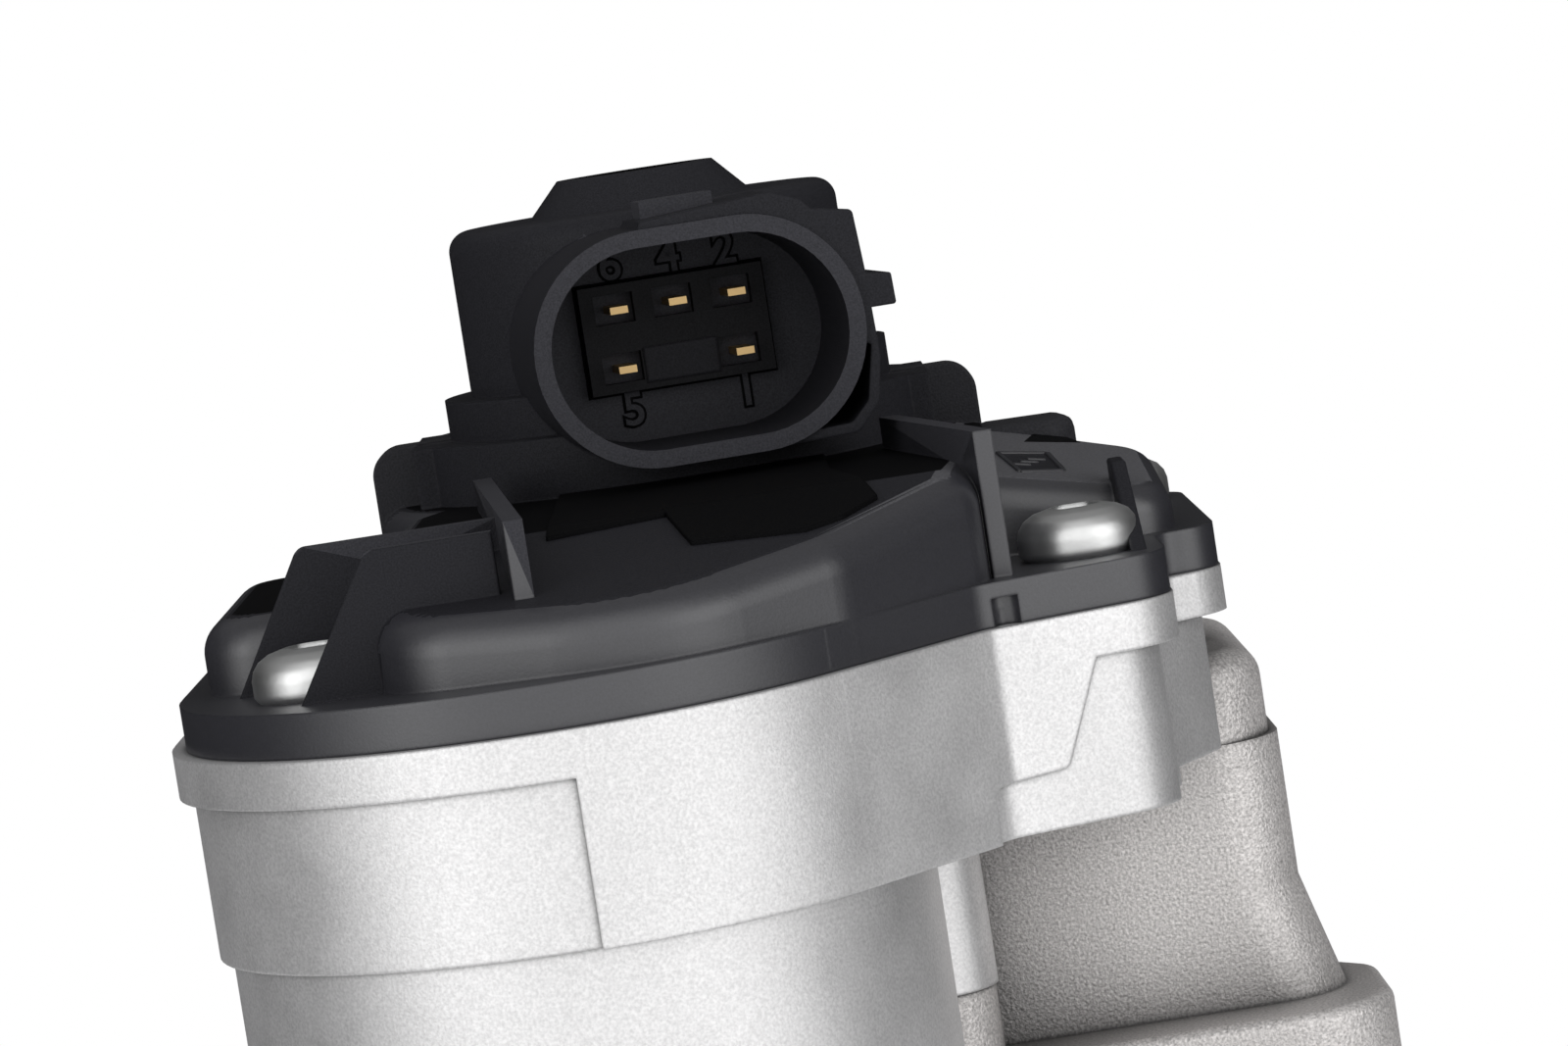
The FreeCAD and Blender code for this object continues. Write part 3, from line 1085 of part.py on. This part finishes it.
rooms = fuse("rooms", cover_room + [cylinder("rear_room", "rear_dome_r-cover_wall", "joint_z-1", "joint_z+dome_top-cover_wall")])
room_posts = [cylinder("cover_post_%d" % i, "boss_core_r", "joint_z-1", "joint_z+12", *spot) for i, spot in enumerate(cover_spots)]
rooms_cut = cut("rooms_cut", rooms, room_posts + [axle_boss])
cover_tools = [
    rooms_cut,
    cylinder("wheel_recess", "module_fine*(wheel_teeth+2)/2+0.7", "joint_z-1", "joint_z+wheel_low+wheel_thick+0.4", *W),
    cylinder("tower_low", "tower_low_in_r", "joint_z-1", "joint_z+tower_low_top"),
    cylinder("tower_high", "tower_in_r", "joint_z", "joint_z+tower_roof"),
    cylinder("crown_pit", "crown_pit_r", "joint_z+crown_top-crown_pit", "joint_z+crown_top+1"),
    cylinder("axle_top", "axle_r+run_gap", "joint_z-1", "joint_z+axle_top_rise+0.2", *W),
    socket_all,
    box("bar_room", ("0-5", "5"), ("0-14", "0-11"), ("joint_z+5", "joint_z+9")),
]
cover_tools += [cylinder("cover_hole_%d" % i, "screw_r+screw_clear", "joint_z-1", "joint_z+flange_thick", *spot) for i, spot in enumerate(cover_spots)]
cover_tools.append(cylinder("flange_notch", "0.9", "joint_z-1", "joint_z+flange_thick-1", "19.4", "-44.9"))
cover_tools += [cylinder("head_room_%d" % i, "screw_head_r+0.15", "joint_z+flange_thick", "joint_z+14", *spot) for i, spot in enumerate(cover_spots)]
seal_outer = fuse("seal_outer", shell("seal_out", case_block, "0-0.9", "joint_z", "joint_z+seal_high"))
seal_inner = fuse("seal_inner", shell("seal_in", case_block, "0-1.7", "joint_z-1", "joint_z+seal_high+1"))
seal_holes = [cylinder("seal_hole_%d" % i, "screw_r+screw_clear", "joint_z-1", "joint_z+seal_high+1", *spot) for i, spot in enumerate(cover_spots)]
piece("cover_gasket", cut("seal_loop", seal_outer, [seal_inner] + seal_holes))
cover_tools.append(pieces["cover_gasket"])
piece("gear_cover", cut("cover", cover_solid, cover_tools))
piece("sensor_board", cylinder("board", "board_r", "joint_z+board_low", "joint_z+board_low+board_thick"))
piece("hall_sensor", box("chip", ("0-chip_size/2", "chip_size/2"), ("0-chip_size/2", "chip_size/2"), ("joint_z+board_low-chip_thick", "joint_z+board_low")))

BAR_LEFT = [("0-4", "0-9.8", "17"), ("0-4", "0-9.8", "8.2"), ("0-4", "0-12.9", "8.2"), ("0-4", "0-12.9", "4"), ("0-4", "0-19", "4"),
            ("motor_x-6.9", "0-19", "4"), ("motor_x-6.9", "motor_y+5", "4"), ("motor_x-6.9", "motor_y+5", "brush_rise")]
BAR_RIGHT = [("4", "0-9.8", "17"), ("4", "0-9.8", "8.2"), ("4", "0-12.9", "8.2"), ("4", "0-12.9", "4"), ("motor_x+9", "0-12.9", "4"),
             ("motor_x+9", "motor_y-9", "4"), ("motor_x+9", "motor_y-9", "brush_rise")]


def lead_bar(name, path):
    """Bent strip made of straight boxes from corner to corner."""
    parts = []
    for i, (one, two) in enumerate(zip(path, path[1:])):
        limits = []
        for axis in range(3):
            first = num(one[axis])
            last = num(two[axis])
            low, high = (one[axis], two[axis]) if first <= last else (two[axis], one[axis])
            base = "joint_z+" if axis == 2 else ""
            grow_low = "" if axis == 2 and i == len(path) - 2 else "-bar_half"
            grow_high = "" if axis == 2 and i == 0 else "+bar_half"
            limits.append(("%s(%s)%s" % (base, low, grow_low), "%s(%s)%s" % (base, high, grow_high)))
        parts.append(box("%s_%d" % (name, i), *limits))
    return fuse(name, parts)


many("motor_lead_bars", [lead_bar("bar_left", BAR_LEFT), lead_bar("bar_right", BAR_RIGHT)])

doc.recompute()
bad = [item.Label for item in doc.Objects if "Invalid" in item.State or "Error" in item.State]
if bad:
    raise RuntimeError("features that failed: " + ", ".join(bad))
for label, item in pieces.items():
    if item.Shape.isNull() or not item.Shape.isValid():
        raise RuntimeError("bad shape: " + label)
for label, item in pieces.items():
    item.Shape.exportStep("parts/%s.step" % label)
    print(label, len(item.Shape.Solids), round(item.Shape.Volume), item.Shape.BoundBox)
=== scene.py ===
"""Looks, camera and light of an electric exhaust-gas recirculation valve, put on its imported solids.

Lengths are in millimetres, except where a comment says metres."""
import json
import math

import bpy
from mathutils import Matrix, Vector


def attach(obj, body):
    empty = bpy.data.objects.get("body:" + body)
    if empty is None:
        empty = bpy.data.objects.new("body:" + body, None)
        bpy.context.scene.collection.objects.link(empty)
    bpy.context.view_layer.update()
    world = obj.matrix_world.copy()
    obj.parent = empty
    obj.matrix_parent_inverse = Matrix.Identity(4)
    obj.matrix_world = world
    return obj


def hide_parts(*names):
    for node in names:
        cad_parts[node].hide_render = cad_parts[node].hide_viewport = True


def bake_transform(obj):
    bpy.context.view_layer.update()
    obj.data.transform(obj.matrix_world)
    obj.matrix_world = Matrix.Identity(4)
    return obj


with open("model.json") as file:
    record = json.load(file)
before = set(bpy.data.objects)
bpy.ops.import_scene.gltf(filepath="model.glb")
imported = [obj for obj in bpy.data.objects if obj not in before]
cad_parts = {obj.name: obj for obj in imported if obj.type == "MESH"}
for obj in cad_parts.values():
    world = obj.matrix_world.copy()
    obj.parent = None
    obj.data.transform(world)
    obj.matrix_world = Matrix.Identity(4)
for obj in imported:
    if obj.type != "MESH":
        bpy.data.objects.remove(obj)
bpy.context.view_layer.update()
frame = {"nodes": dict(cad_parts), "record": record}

MM = 0.001  # a millimetre in metres
JOINT = 60.0  # height of the joint between the case and its cover
PLUG_TURN = math.radians(7.5)  # the connector's turn about Z
SOCKET_FLOOR = -12.4  # the socket floor's place along the connector
SOCKET_CENTRE = 19.4  # the socket's centre above the joint

# Materials
BEVEL_SAMPLES = 6
CORNER_SAMPLES = 8
CORNER_OPEN = 0.95  # share of open sky at which a corner is no longer darkened
NOISE_SPAN = (0.3, 0.7)  # where nearly all of a noise texture's values lie
COLOUR_DETAIL = 3.0


def nodes_of(owner):
    owner.use_nodes = True
    return owner.node_tree.nodes, owner.node_tree.links


def noise(nodes, links, size, detail=2.0):
    """Noise in the object's own space, with features of about the given size."""
    place = nodes.new("ShaderNodeTexCoord")
    field = nodes.new("ShaderNodeTexNoise")
    field.inputs["Scale"].default_value = 1.0 / (size * MM)
    field.inputs["Detail"].default_value = detail
    links.new(place.outputs["Object"], field.inputs["Vector"])
    return field.outputs["Fac"]


def spread(nodes, links, value, source, target):
    """Turns the span source of a value into the span target."""
    step = nodes.new("ShaderNodeMapRange")
    for name, number in zip(("From Min", "From Max", "To Min", "To Max"), (*source, *target)):
        step.inputs[name].default_value = number
    links.new(value, step.inputs["Value"])
    return step.outputs["Result"]


def joined(nodes, links, operation, first, second):
    """Both values joined by one math operation."""
    both = nodes.new("ShaderNodeMath")
    both.operation = operation
    links.new(first, both.inputs[0])
    links.new(second, both.inputs[1])
    return both.outputs["Value"]


def grainy(name, colour, rough, metal=0.0, speck=0.0, speck_size=0.2, bump=0.0, bump_size=0.2, mottling=0.0,
           mottling_size=6.0, rough_swing=0.0, spec=0.5, soften=0.0, corner_shade=0.0, neighbour_shade=0.0):
    """Principled surface with a fine grain; bump is the grain's depth.

    soften rounds the shading of sharp edges by that radius, corner_shade paints shade into the colour of inner
    corners over that distance, and neighbour_shade paints shade into the colour of walls beside a tall neighbour
    over that distance."""
    material = bpy.data.materials.new(name)
    nodes, links = nodes_of(material)
    shader = nodes["Principled BSDF"]
    shader.inputs["Base Color"].default_value = (*colour, 1)
    shader.inputs["Roughness"].default_value = rough
    shader.inputs["Metallic"].default_value = metal
    shader.inputs["Specular IOR Level"].default_value = spec

    normal = None
    if soften:
        edge = nodes.new("ShaderNodeBevel")
        edge.samples = BEVEL_SAMPLES
        edge.inputs["Radius"].default_value = soften * MM
        normal = edge.outputs["Normal"]
    if bump:
        dent = nodes.new("ShaderNodeBump")
        dent.inputs["Strength"].default_value = 1.0
        dent.inputs["Distance"].default_value = bump * MM
        links.new(noise(nodes, links, bump_size), dent.inputs["Height"])
        if normal is not None:
            links.new(normal, dent.inputs["Normal"])
        normal = dent.outputs["Normal"]
    if normal is not None:
        links.new(normal, shader.inputs["Normal"])

    shade_and_grain = []
    # Painted shade: ambient occlusion darkens the colour in inner corners and, over a longer reach, beside tall
    # neighbours
    for reach, closed, darkest in ((corner_shade, 0.35, 0.15), (neighbour_shade, 0.45, 0.3)):
        if reach:
            corner = nodes.new("ShaderNodeAmbientOcclusion")
            corner.samples = CORNER_SAMPLES
            corner.inputs["Distance"].default_value = reach * MM
            shade_and_grain.append(spread(nodes, links, corner.outputs["AO"], (closed, CORNER_OPEN), (darkest, 1.0)))
    for amount, size in ((speck, speck_size), (mottling, mottling_size)):
        if amount:
            grain = noise(nodes, links, size, COLOUR_DETAIL)
            shade_and_grain.append(spread(nodes, links, grain, NOISE_SPAN, (1.0 - amount, 1.0 + amount)))
    if shade_and_grain:
        shade = shade_and_grain[0]
        for other in shade_and_grain[1:]:
            shade = joined(nodes, links, "MULTIPLY", shade, other)
        tint = nodes.new("ShaderNodeVectorMath")
        tint.operation = "SCALE"
        tint.inputs[0].default_value = colour
        links.new(shade, tint.inputs["Scale"])
        links.new(tint.outputs["Vector"], shader.inputs["Base Color"])
    if rough_swing:
        patches = noise(nodes, links, mottling_size / 2)
        swing = spread(nodes, links, patches, (0.0, 1.0), (rough - rough_swing, rough + rough_swing))
        links.new(swing, shader.inputs["Roughness"])
    return material


PLASTIC = grainy("black plastic", (0.028, 0.028, 0.034), 0.38, speck=0.2, speck_size=0.15,
                 bump=0.008, bump_size=0.16, spec=1.0, soften=0.3)
MATTE = grainy("matt black plastic", (0.021, 0.021, 0.025), 0.5, speck=0.3, speck_size=0.12,
               bump=0.02, bump_size=0.12, spec=0.12, soften=0.3)
# Painted shade: a far darker copy of the black plastic, for the flat roofs facing the dim ceiling, the pit in the
# tower top and the lines round raised forms
DARK = grainy("darkest black plastic", (0.0045, 0.0045, 0.005), 0.6, speck=0.3, speck_size=0.12,
              bump=0.02, bump_size=0.12, spec=0.04, soften=0.3)
GRAINED = grainy("grained black plastic", (0.026, 0.026, 0.030), 0.6, speck=0.3, speck_size=0.15,
                 bump=0.03, bump_size=0.15, spec=0.2, soften=0.3)
# Painted light: the grained black plastic made paler, for the right block's roofs that catch light from above and
# behind
LIT_GRAIN = grainy("grained plastic painted lit", (0.085, 0.085, 0.092), 0.6, speck=0.25, speck_size=0.15,
                    bump=0.03, bump_size=0.15, spec=0.3, soften=0.3)
# Painted light: a lighter copy of the black plastic, for the socket floor deep in shade, the shroud's lip and catch
# and the digit faces
LIT_SOCKET = grainy("socket plastic painted lighter", (0.042, 0.042, 0.049), 0.6, speck=0.3, speck_size=0.12, spec=0.2)
# Painted shade: the terminal block stands out into more light than the socket floor, so it is made darker and both
# show the same tone
DARKENED_BLOCK = grainy("terminal block plastic painted darker", (0.016, 0.016, 0.018), 0.55, speck=0.3, speck_size=0.12, spec=0.1)
# Painted shade: the die cast is darkened in its inner corners, the casting in its inner corners and beside tall
# neighbours
DIECAST = grainy("die cast", (0.77, 0.765, 0.765), 0.45, metal=0.7, speck=0.14, speck_size=0.2,
                 bump=0.012, bump_size=0.14, mottling=0.05, mottling_size=9.0, rough_swing=0.08,
                 soften=0.35, corner_shade=0.5)
CASTING = grainy("rough casting", (0.69, 0.665, 0.65), 0.42, metal=0.45, speck=0.35, speck_size=0.2,
                 bump=0.09, bump_size=0.22, mottling=0.06, mottling_size=8.0, rough_swing=0.1,
                 soften=0.8, corner_shade=0.8, neighbour_shade=11.0)
ZINC = grainy("zinc plate", (0.76, 0.765, 0.76), 0.42, metal=1.0, mottling=0.05, mottling_size=1.5,
              bump=0.01, bump_size=0.5, soften=0.6)
STEEL = grainy("steel", (0.60, 0.60, 0.61), 0.3, metal=1.0)
FINISH = {
    "die_cast": DIECAST,
    "rough_cast": CASTING,
    "black_plastic": PLASTIC,
    "zinc": ZINC,
    "steel": STEEL,
    "spring_steel": STEEL,
    "brass": grainy("brass", (0.60, 0.42, 0.20), 0.45, metal=1.0),
    "copper": grainy("copper", (0.74, 0.36, 0.18), 0.35, metal=1.0),
    "gear_plastic": grainy("ivory plastic", (0.62, 0.57, 0.45), 0.45),
    "sintered": grainy("sintered steel", (0.33, 0.32, 0.31), 0.5, metal=0.9, speck=0.2, speck_size=0.3),
    "ferrite": grainy("ferrite", (0.06, 0.06, 0.065), 0.6),
    "rubber": grainy("rubber", (0.02, 0.02, 0.02), 0.7),
    "board": grainy("board", (0.03, 0.16, 0.07), 0.4),
    "carbon": grainy("carbon", (0.03, 0.03, 0.03), 0.5),
}
slots = {part["node"]: part["material_slot"] for part in frame["record"]["subparts"]}
# Each part gets its finish; the terminal block gets the darker plastic as painted shade
for name, node in frame["nodes"].items():
    node.data.materials.clear()
    node.data.materials.append(DARKENED_BLOCK if name == "terminal_block" else FINISH[slots[name]])

# The cover: glossy at its rim and domes, grained on its wings and its right block, with painted shade on its flat
# roofs, painted light on the right block's roofs and a lighter painted tone on the socket floor and the shroud lip
COVER_FINISHES = (PLASTIC, MATTE, DARK, GRAINED, LIT_GRAIN, LIT_SOCKET)
ROOF_LOW, ROOF_HIGH = 6, 10.4  # heights of the roofs above the joint
LEFT_RIBS = ((-45.2, -43.6), (-55.5, -53.9))  # spans along Y


def plug_side(x, y):
    """The same point in the upright frame of the turned connector."""
    return x * math.cos(PLUG_TURN) + y * math.sin(PLUG_TURN), y * math.cos(PLUG_TURN) - x * math.sin(PLUG_TURN)


def cover_finish(x, y, z, rise):
    """Finish of a face of the cover: z is its height above the joint, rise its normal's upward part."""
    across, along = plug_side(x, y)
    on_roof = ROOF_LOW < z < ROOF_HIGH
    on_socket_floor = abs(along - SOCKET_FLOOR) < 0.05 and abs(across) < 11 and abs(z - SOCKET_CENTRE) < 7.8
    on_tower_top = z > 28.9 and math.hypot(x, y) < 4.3
    on_shroud_lip = along < -24.8 and z > ROOF_HIGH
    on_shroud_catch = z > 27 and abs(across) < 2.5 and -20.7 < along < -16.3
    on_wing = abs(y) < 3.2 and 4.1 < z < 14.5
    on_left_rib = x < -8.8 and z > 3.0 and any(start < y < end for start, end in LEFT_RIBS)
    # Painted light: the socket floor takes the lighter socket plastic
    if on_socket_floor:
        return LIT_SOCKET
    # Painted shade: level roofs and the pit in the tower top take the darkest plastic
    if (rise > 0.995 and on_roof) or on_tower_top:
        return DARK
    # Painted light: the right block's up-facing roofs take the paler grained plastic
    if x > 13 and rise > 0.9 and on_roof:
        return LIT_GRAIN
    if rise > 0.95 and on_roof:
        return MATTE
    # Painted light: the shroud's lip and catch take the lighter socket plastic
    if on_shroud_lip or on_shroud_catch:
        return LIT_SOCKET
    if on_wing:
        return GRAINED
    if z > ROOF_HIGH or on_left_rib:
        return MATTE
    return PLASTIC


cover = frame["nodes"]["gear_cover"].data
for finish in COVER_FINISHES[1:]:
    cover.materials.append(finish)
for face in cover.polygons:
    x, y, z = face.center / MM
    face.material_index = COVER_FINISHES.index(cover_finish(x, y, z - JOINT, face.normal.z))

# The return spring sits on the body at its lower end and goes down with the valve at its upper end; here it is a
# fixed copy of the packed spring, with the packed one hidden
packed_spring = frame["nodes"]["return_spring"]
spring = bpy.data.objects.new("return_spring_coil", packed_spring.data.copy())
bpy.context.scene.collection.objects.link(spring)
spring.matrix_world = packed_spring.matrix_world.copy()
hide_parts("return_spring")
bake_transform(spring)

# Small forms that the solids leave out
SUNK = -0.3  # foot of a small form, below the surface that carries it
BEVEL_SEGMENTS = 4
ROOF_TOP, ROOF_CREST, ROOF_SLOPE = 10.0, -42, 0.18  # level part of the dome's roof, where it ends, and its fall
SIDE_TOP, SIDE_X, SIDE_Y = 8.35, 21.9, -22  # height of the right block's roof at one point
SIDE_SLOPE_X, SIDE_SLOPE_Y = -0.22, 0.10
RIB_SIDE = 27.95  # inner side of the rib beside the right screw


def ride_cover(item):
    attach(item, "frame")


def outline_piece(name, finish, corners, heights, place=None, soften=0):
    """Prism over corners (x, y); heights gives its low and high z at each corner; place turns each point."""
    low, high = heights
    points = [(x, y, low(x, y)) for x, y in corners] + [(x, y, high(x, y)) for x, y in corners]
    if place:
        points = [place(*point) for point in points]
    count = len(corners)
    faces = [tuple(range(count))[::-1], tuple(range(count, 2 * count))]
    faces += [(i, (i + 1) % count, count + (i + 1) % count, count + i) for i in range(count)]
    mesh = bpy.data.meshes.new(name)
    mesh.from_pydata([Vector(point) * MM for point in points], [], faces)
    mesh.materials.append(finish)
    item = bpy.data.objects.new(name, mesh)
    bpy.context.scene.collection.objects.link(item)
    if soften:
        edge = item.modifiers.new("soft edges", "BEVEL")
        edge.width = soften * MM
        edge.segments = BEVEL_SEGMENTS
    ride_cover(item)


def roof_height(x, y):
    """Top of the front dome, which falls towards the front."""
    return JOINT + ROOF_TOP + ROOF_SLOPE * min(0, y - ROOF_CREST)


def side_height(x, y):
    """Top of the right block, which falls to the right and to the front."""
    return JOINT + SIDE_TOP + SIDE_SLOPE_X * (x - SIDE_X) + SIDE_SLOPE_Y * (y - SIDE_Y)


def raised(surface, high):
    """Heights from just inside a surface to high above it."""
    return (lambda x, y: surface(x, y) + SUNK), (lambda x, y: surface(x, y) + high)


def flat(low, high):
    """The same two heights at every corner."""
    return (lambda x, y: low), (lambda x, y: high)


def on_socket(x, y, z):
    """A point given as across the socket, up from its centre and out of its floor."""
    along = SOCKET_FLOOR - z
    return (x * math.cos(PLUG_TURN) - along * math.sin(PLUG_TURN),
            x * math.sin(PLUG_TURN) + along * math.cos(PLUG_TURN),
            y + SOCKET_CENTRE + JOINT)


def on_rib(x, y, z):
    """Stands a profile drawn along and up on its side, beside the right screw."""
    return RIB_SIDE + z, x, y + JOINT


# Raised field on the roof of the front dome, in the darkest plastic as painted shade like the flat roofs
FIELDS = (
    [(-8.0, -16.5), (-8.1, -42), (-0.8, -42), (11.8, -42), (10.0, -30), (9.9, -16.5)],
    [(-0.8, -42), (-0.65, -43.2), (0.75, -50.8), (7.8, -51.8), (10.2, -50.1), (12.5, -46.8), (11.8, -42)],
    [(-8.1, -42), (-8.2, -44.6), (-0.65, -43.2), (-0.8, -42)],
)
for number, corners in enumerate(FIELDS):
    outline_piece("roof_field_%d" % number, DARK, corners, raised(roof_height, 0.3))

# Right block: a field with a raised edge and a plain pattern of bars, and a darker strip behind it
STAMP = [(21.3, -19.4), (22.3, -26.2), (25.2, -24.6), (24.6, -18.2)]
STAMP_EDGE = 0.16  # half of the edge's width
STAMP_RELIEF = 0.12
BAR_LONG = 0.6  # half of a bar's length
FIRST_BAR, BAR_STEP = Vector((22.6, -23.4)), Vector((0.55, 1.2))
outline_piece("stamp_field", MATTE, STAMP, raised(side_height, 0.03))
for number, (start, end) in enumerate(zip(STAMP, STAMP[1:] + STAMP[:1])):
    start, end = Vector(start), Vector(end)
    side = (end - start).orthogonal().normalized() * STAMP_EDGE
    corners = [tuple(start - side), tuple(end - side), tuple(end + side), tuple(start + side)]
    outline_piece("stamp_edge_%d" % number, PLASTIC, corners, raised(side_height, STAMP_RELIEF))
for number in range(3):
    x, y = FIRST_BAR + BAR_STEP * number
    corners = [(x - BAR_LONG, y - 0.25), (x + BAR_LONG, y - 0.1), (x + BAR_LONG, y + 0.25), (x - BAR_LONG, y + 0.1)]
    outline_piece("stamp_bar_%d" % number, PLASTIC, corners, raised(side_height, STAMP_RELIEF))
outline_piece("side_strip", DARK, [(23.4, -13.9), (27.2, -12.7), (26.4, -11.0), (24.2, -10.6)],
              raised(side_height, 0.04))

# Hump behind the right block, and the upper edge of the rib beside the right screw
outline_piece("side_hump", GRAINED, [(20.4, -10.6), (26.0, -10.6), (27.3, -8.6), (26.8, -3.8), (20.4, -2.8)],
              flat(JOINT + 2.0, JOINT + 9.9), soften=1.0)
outline_piece("far_rib_edge", MATTE, [(-26.5, 2.0), (-26.5, 7.9), (-30.4, 7.9), (-39.7, 2.4)],
              flat(0, 1.0), on_rib, soften=0.2)

# Socket floor: digits with painted shade round their edges, a painted shadow in the seam round the terminal block
# and a strip between the lower cells
DIGIT_HIGH = 3.2
DIGITS = (("6", -4.09, 5.42), ("4", -0.07, 5.36), ("2", 3.77, 5.3), ("5", -3.93, -4.50), ("1", 3.86, -4.40))
# Painted shade: each digit's dark edge layer stands wider than its face, as the shade round a raised digit; the
# face takes the socket floor's lighter painted tone
DIGIT_LAYERS = (("edge", DARK, 0.20, 0.10), ("face", LIT_SOCKET, 0.03, 0.20))
for text, x, y in DIGITS:
    for layer, finish, swell, depth in DIGIT_LAYERS:
        curve = bpy.data.curves.new("digit_%s_%s" % (text, layer), "FONT")
        curve.body = text
        curve.size = DIGIT_HIGH * MM
        curve.align_x = "CENTER"
        curve.align_y = "CENTER"
        curve.offset = swell * MM
        curve.extrude = depth * MM
        curve.resolution_u = 4
        curve.materials.append(finish)
        digit = bpy.data.objects.new(curve.name, curve)
        digit.location = Vector(on_socket(x, y, 0.0)) * MM
        digit.rotation_euler = (math.radians(90), 0, PLUG_TURN)
        bpy.context.scene.collection.objects.link(digit)
        ride_cover(digit)


def rectangle(left, right, low, high):
    return [(left, low), (right, low), (right, high), (left, high)]


BLOCK_LEFT, BLOCK_RIGHT, BLOCK_LOW, BLOCK_HIGH = -6.65, 5.95, -3.15, 4.15
SEAM = 0.22
# Painted shadow: thin dark strips stand in for the shade in the seam round the terminal block
SEAM_SHADOWS = {
    "seam_left": rectangle(BLOCK_LEFT - SEAM, BLOCK_LEFT, BLOCK_LOW - SEAM, BLOCK_HIGH + SEAM),
    "seam_right": rectangle(BLOCK_RIGHT, BLOCK_RIGHT + SEAM, BLOCK_LOW - SEAM, BLOCK_HIGH + SEAM),
    "seam_bottom": rectangle(BLOCK_LEFT, BLOCK_RIGHT, BLOCK_LOW - SEAM, BLOCK_LOW),
    "seam_top": rectangle(BLOCK_LEFT, BLOCK_RIGHT, BLOCK_HIGH, BLOCK_HIGH + SEAM),
}
for name, corners in SEAM_SHADOWS.items():
    outline_piece(name, DARK, corners, flat(-0.1, 0.04), on_socket)
outline_piece("block_strip", MATTE, rectangle(-2.85, 2.2, -2.75, -0.35), flat(1.1, 1.32), on_socket)

# Camera: long lens from slightly above, rolled so that the part leans to the left
CAMERA_DISTANCE = 0.4  # metres
elevation = math.radians(4.7)
roll = math.radians(8.8)
target = Vector((6.55, 0, 4.75 + JOINT)) * MM
forward = Vector((0, math.cos(elevation), -math.sin(elevation)))
right = Vector((1, 0, 0))
up = right.cross(forward)
image_right = right * math.cos(roll) - up * math.sin(roll)
image_up = right * math.sin(roll) + up * math.cos(roll)
pose = Matrix((image_right, image_up, -forward)).transposed().to_4x4()
pose.translation = target - forward * CAMERA_DISTANCE
camera_data = bpy.data.cameras.new("camera")
camera_data.sensor_width = 36
camera_data.lens = 131.4
camera = bpy.data.objects.new("camera", camera_data)
camera.matrix_world = pose
bpy.context.scene.collection.objects.link(camera)
bpy.context.scene.camera = camera

# Light: three narrow soft boxes, one at the left and two at the right of the camera, in a pale room (metres)
BOX_AIM = Vector((0, -0.01, 0.05))
BOX_DISTANCE, BOX_HEIGHT = 0.734, 0.216
BOX_WIDE, BOX_TALL = 0.26, 0.45
BOXES = ((-40, 1.36), (40, 0.92), (60, 1.04))  # azimuth in degrees, radiance where 1 is white
for azimuth, glow in BOXES:
    turn = math.radians(azimuth)
    lamp = bpy.data.lights.new("box %d" % azimuth, "AREA")
    lamp.shape = "RECTANGLE"
    lamp.size = BOX_WIDE
    lamp.size_y = BOX_TALL
    lamp.energy = glow * math.pi * BOX_WIDE * BOX_TALL
    box = bpy.data.objects.new("box %d" % azimuth, lamp)
    box.location = (BOX_DISTANCE * math.sin(turn), -BOX_DISTANCE * math.cos(turn), BOX_HEIGHT)
    box.rotation_euler = (BOX_AIM - box.location).to_track_quat("-Z", "Y").to_euler()
    bpy.context.scene.collection.objects.link(box)

# Surroundings: white for the camera, pale for what they light. Mirrored, they are pale on the camera's side and
# dark behind the part, up to a dim ceiling.
world = bpy.data.worlds.new("surroundings")
bpy.context.scene.world = world
nodes, links = nodes_of(world)


def switch(ray, other, chosen):
    """Colour that rays of one kind see, in place of the other colour."""
    mix = nodes.new("ShaderNodeMix")
    mix.data_type = "RGBA"
    links.new(ray, mix.inputs["Factor"])
    for name, colour in (("A", other), ("B", chosen)):
        if isinstance(colour, tuple):
            mix.inputs[name].default_value = colour
        else:
            links.new(colour, mix.inputs[name])
    return mix.outputs["Result"]


def ramp(value, dark_at, bright_at, glow):
    """Soft step from nothing to glow while value goes from dark_at to bright_at."""
    step = nodes.new("ShaderNodeMapRange")
    step.interpolation_type = "SMOOTHSTEP"
    step.inputs["From Min"].default_value = dark_at
    step.inputs["From Max"].default_value = bright_at
    step.inputs["To Max"].default_value = glow
    links.new(value, step.inputs["Value"])
    return step.outputs["Result"]


path = nodes.new("ShaderNodeLightPath")
direction = nodes.new("ShaderNodeTexCoord")
axes = nodes.new("ShaderNodeSeparateXYZ")
links.new(direction.outputs["Generated"], axes.inputs["Vector"])
near = ramp(axes.outputs["Y"], 0.0, -0.7, 1.2)
ceiling = ramp(axes.outputs["Z"], 0.3, 0.9, 0.25)
room = joined(nodes, links, "MAXIMUM", near, ceiling)
mirrored = joined(nodes, links, "MAXIMUM", path.outputs["Is Glossy Ray"], path.outputs["Is Transmission Ray"])
unseen = switch(mirrored, (0.72, 0.72, 0.73, 1), room)
links.new(switch(path.outputs["Is Camera Ray"], unseen, (1, 1, 1, 1)), nodes["Background"].inputs["Color"])

# Pale round table under the part (metres)
bpy.ops.mesh.primitive_cylinder_add(vertices=96, radius=0.11, depth=0.004, location=(0.005, 0, -0.0025))
table = bpy.context.active_object
table.name = "table"
table.data.materials.append(grainy("table", (0.8, 0.8, 0.8), 0.6))
bpy.context.scene.view_settings.view_transform = "Standard"
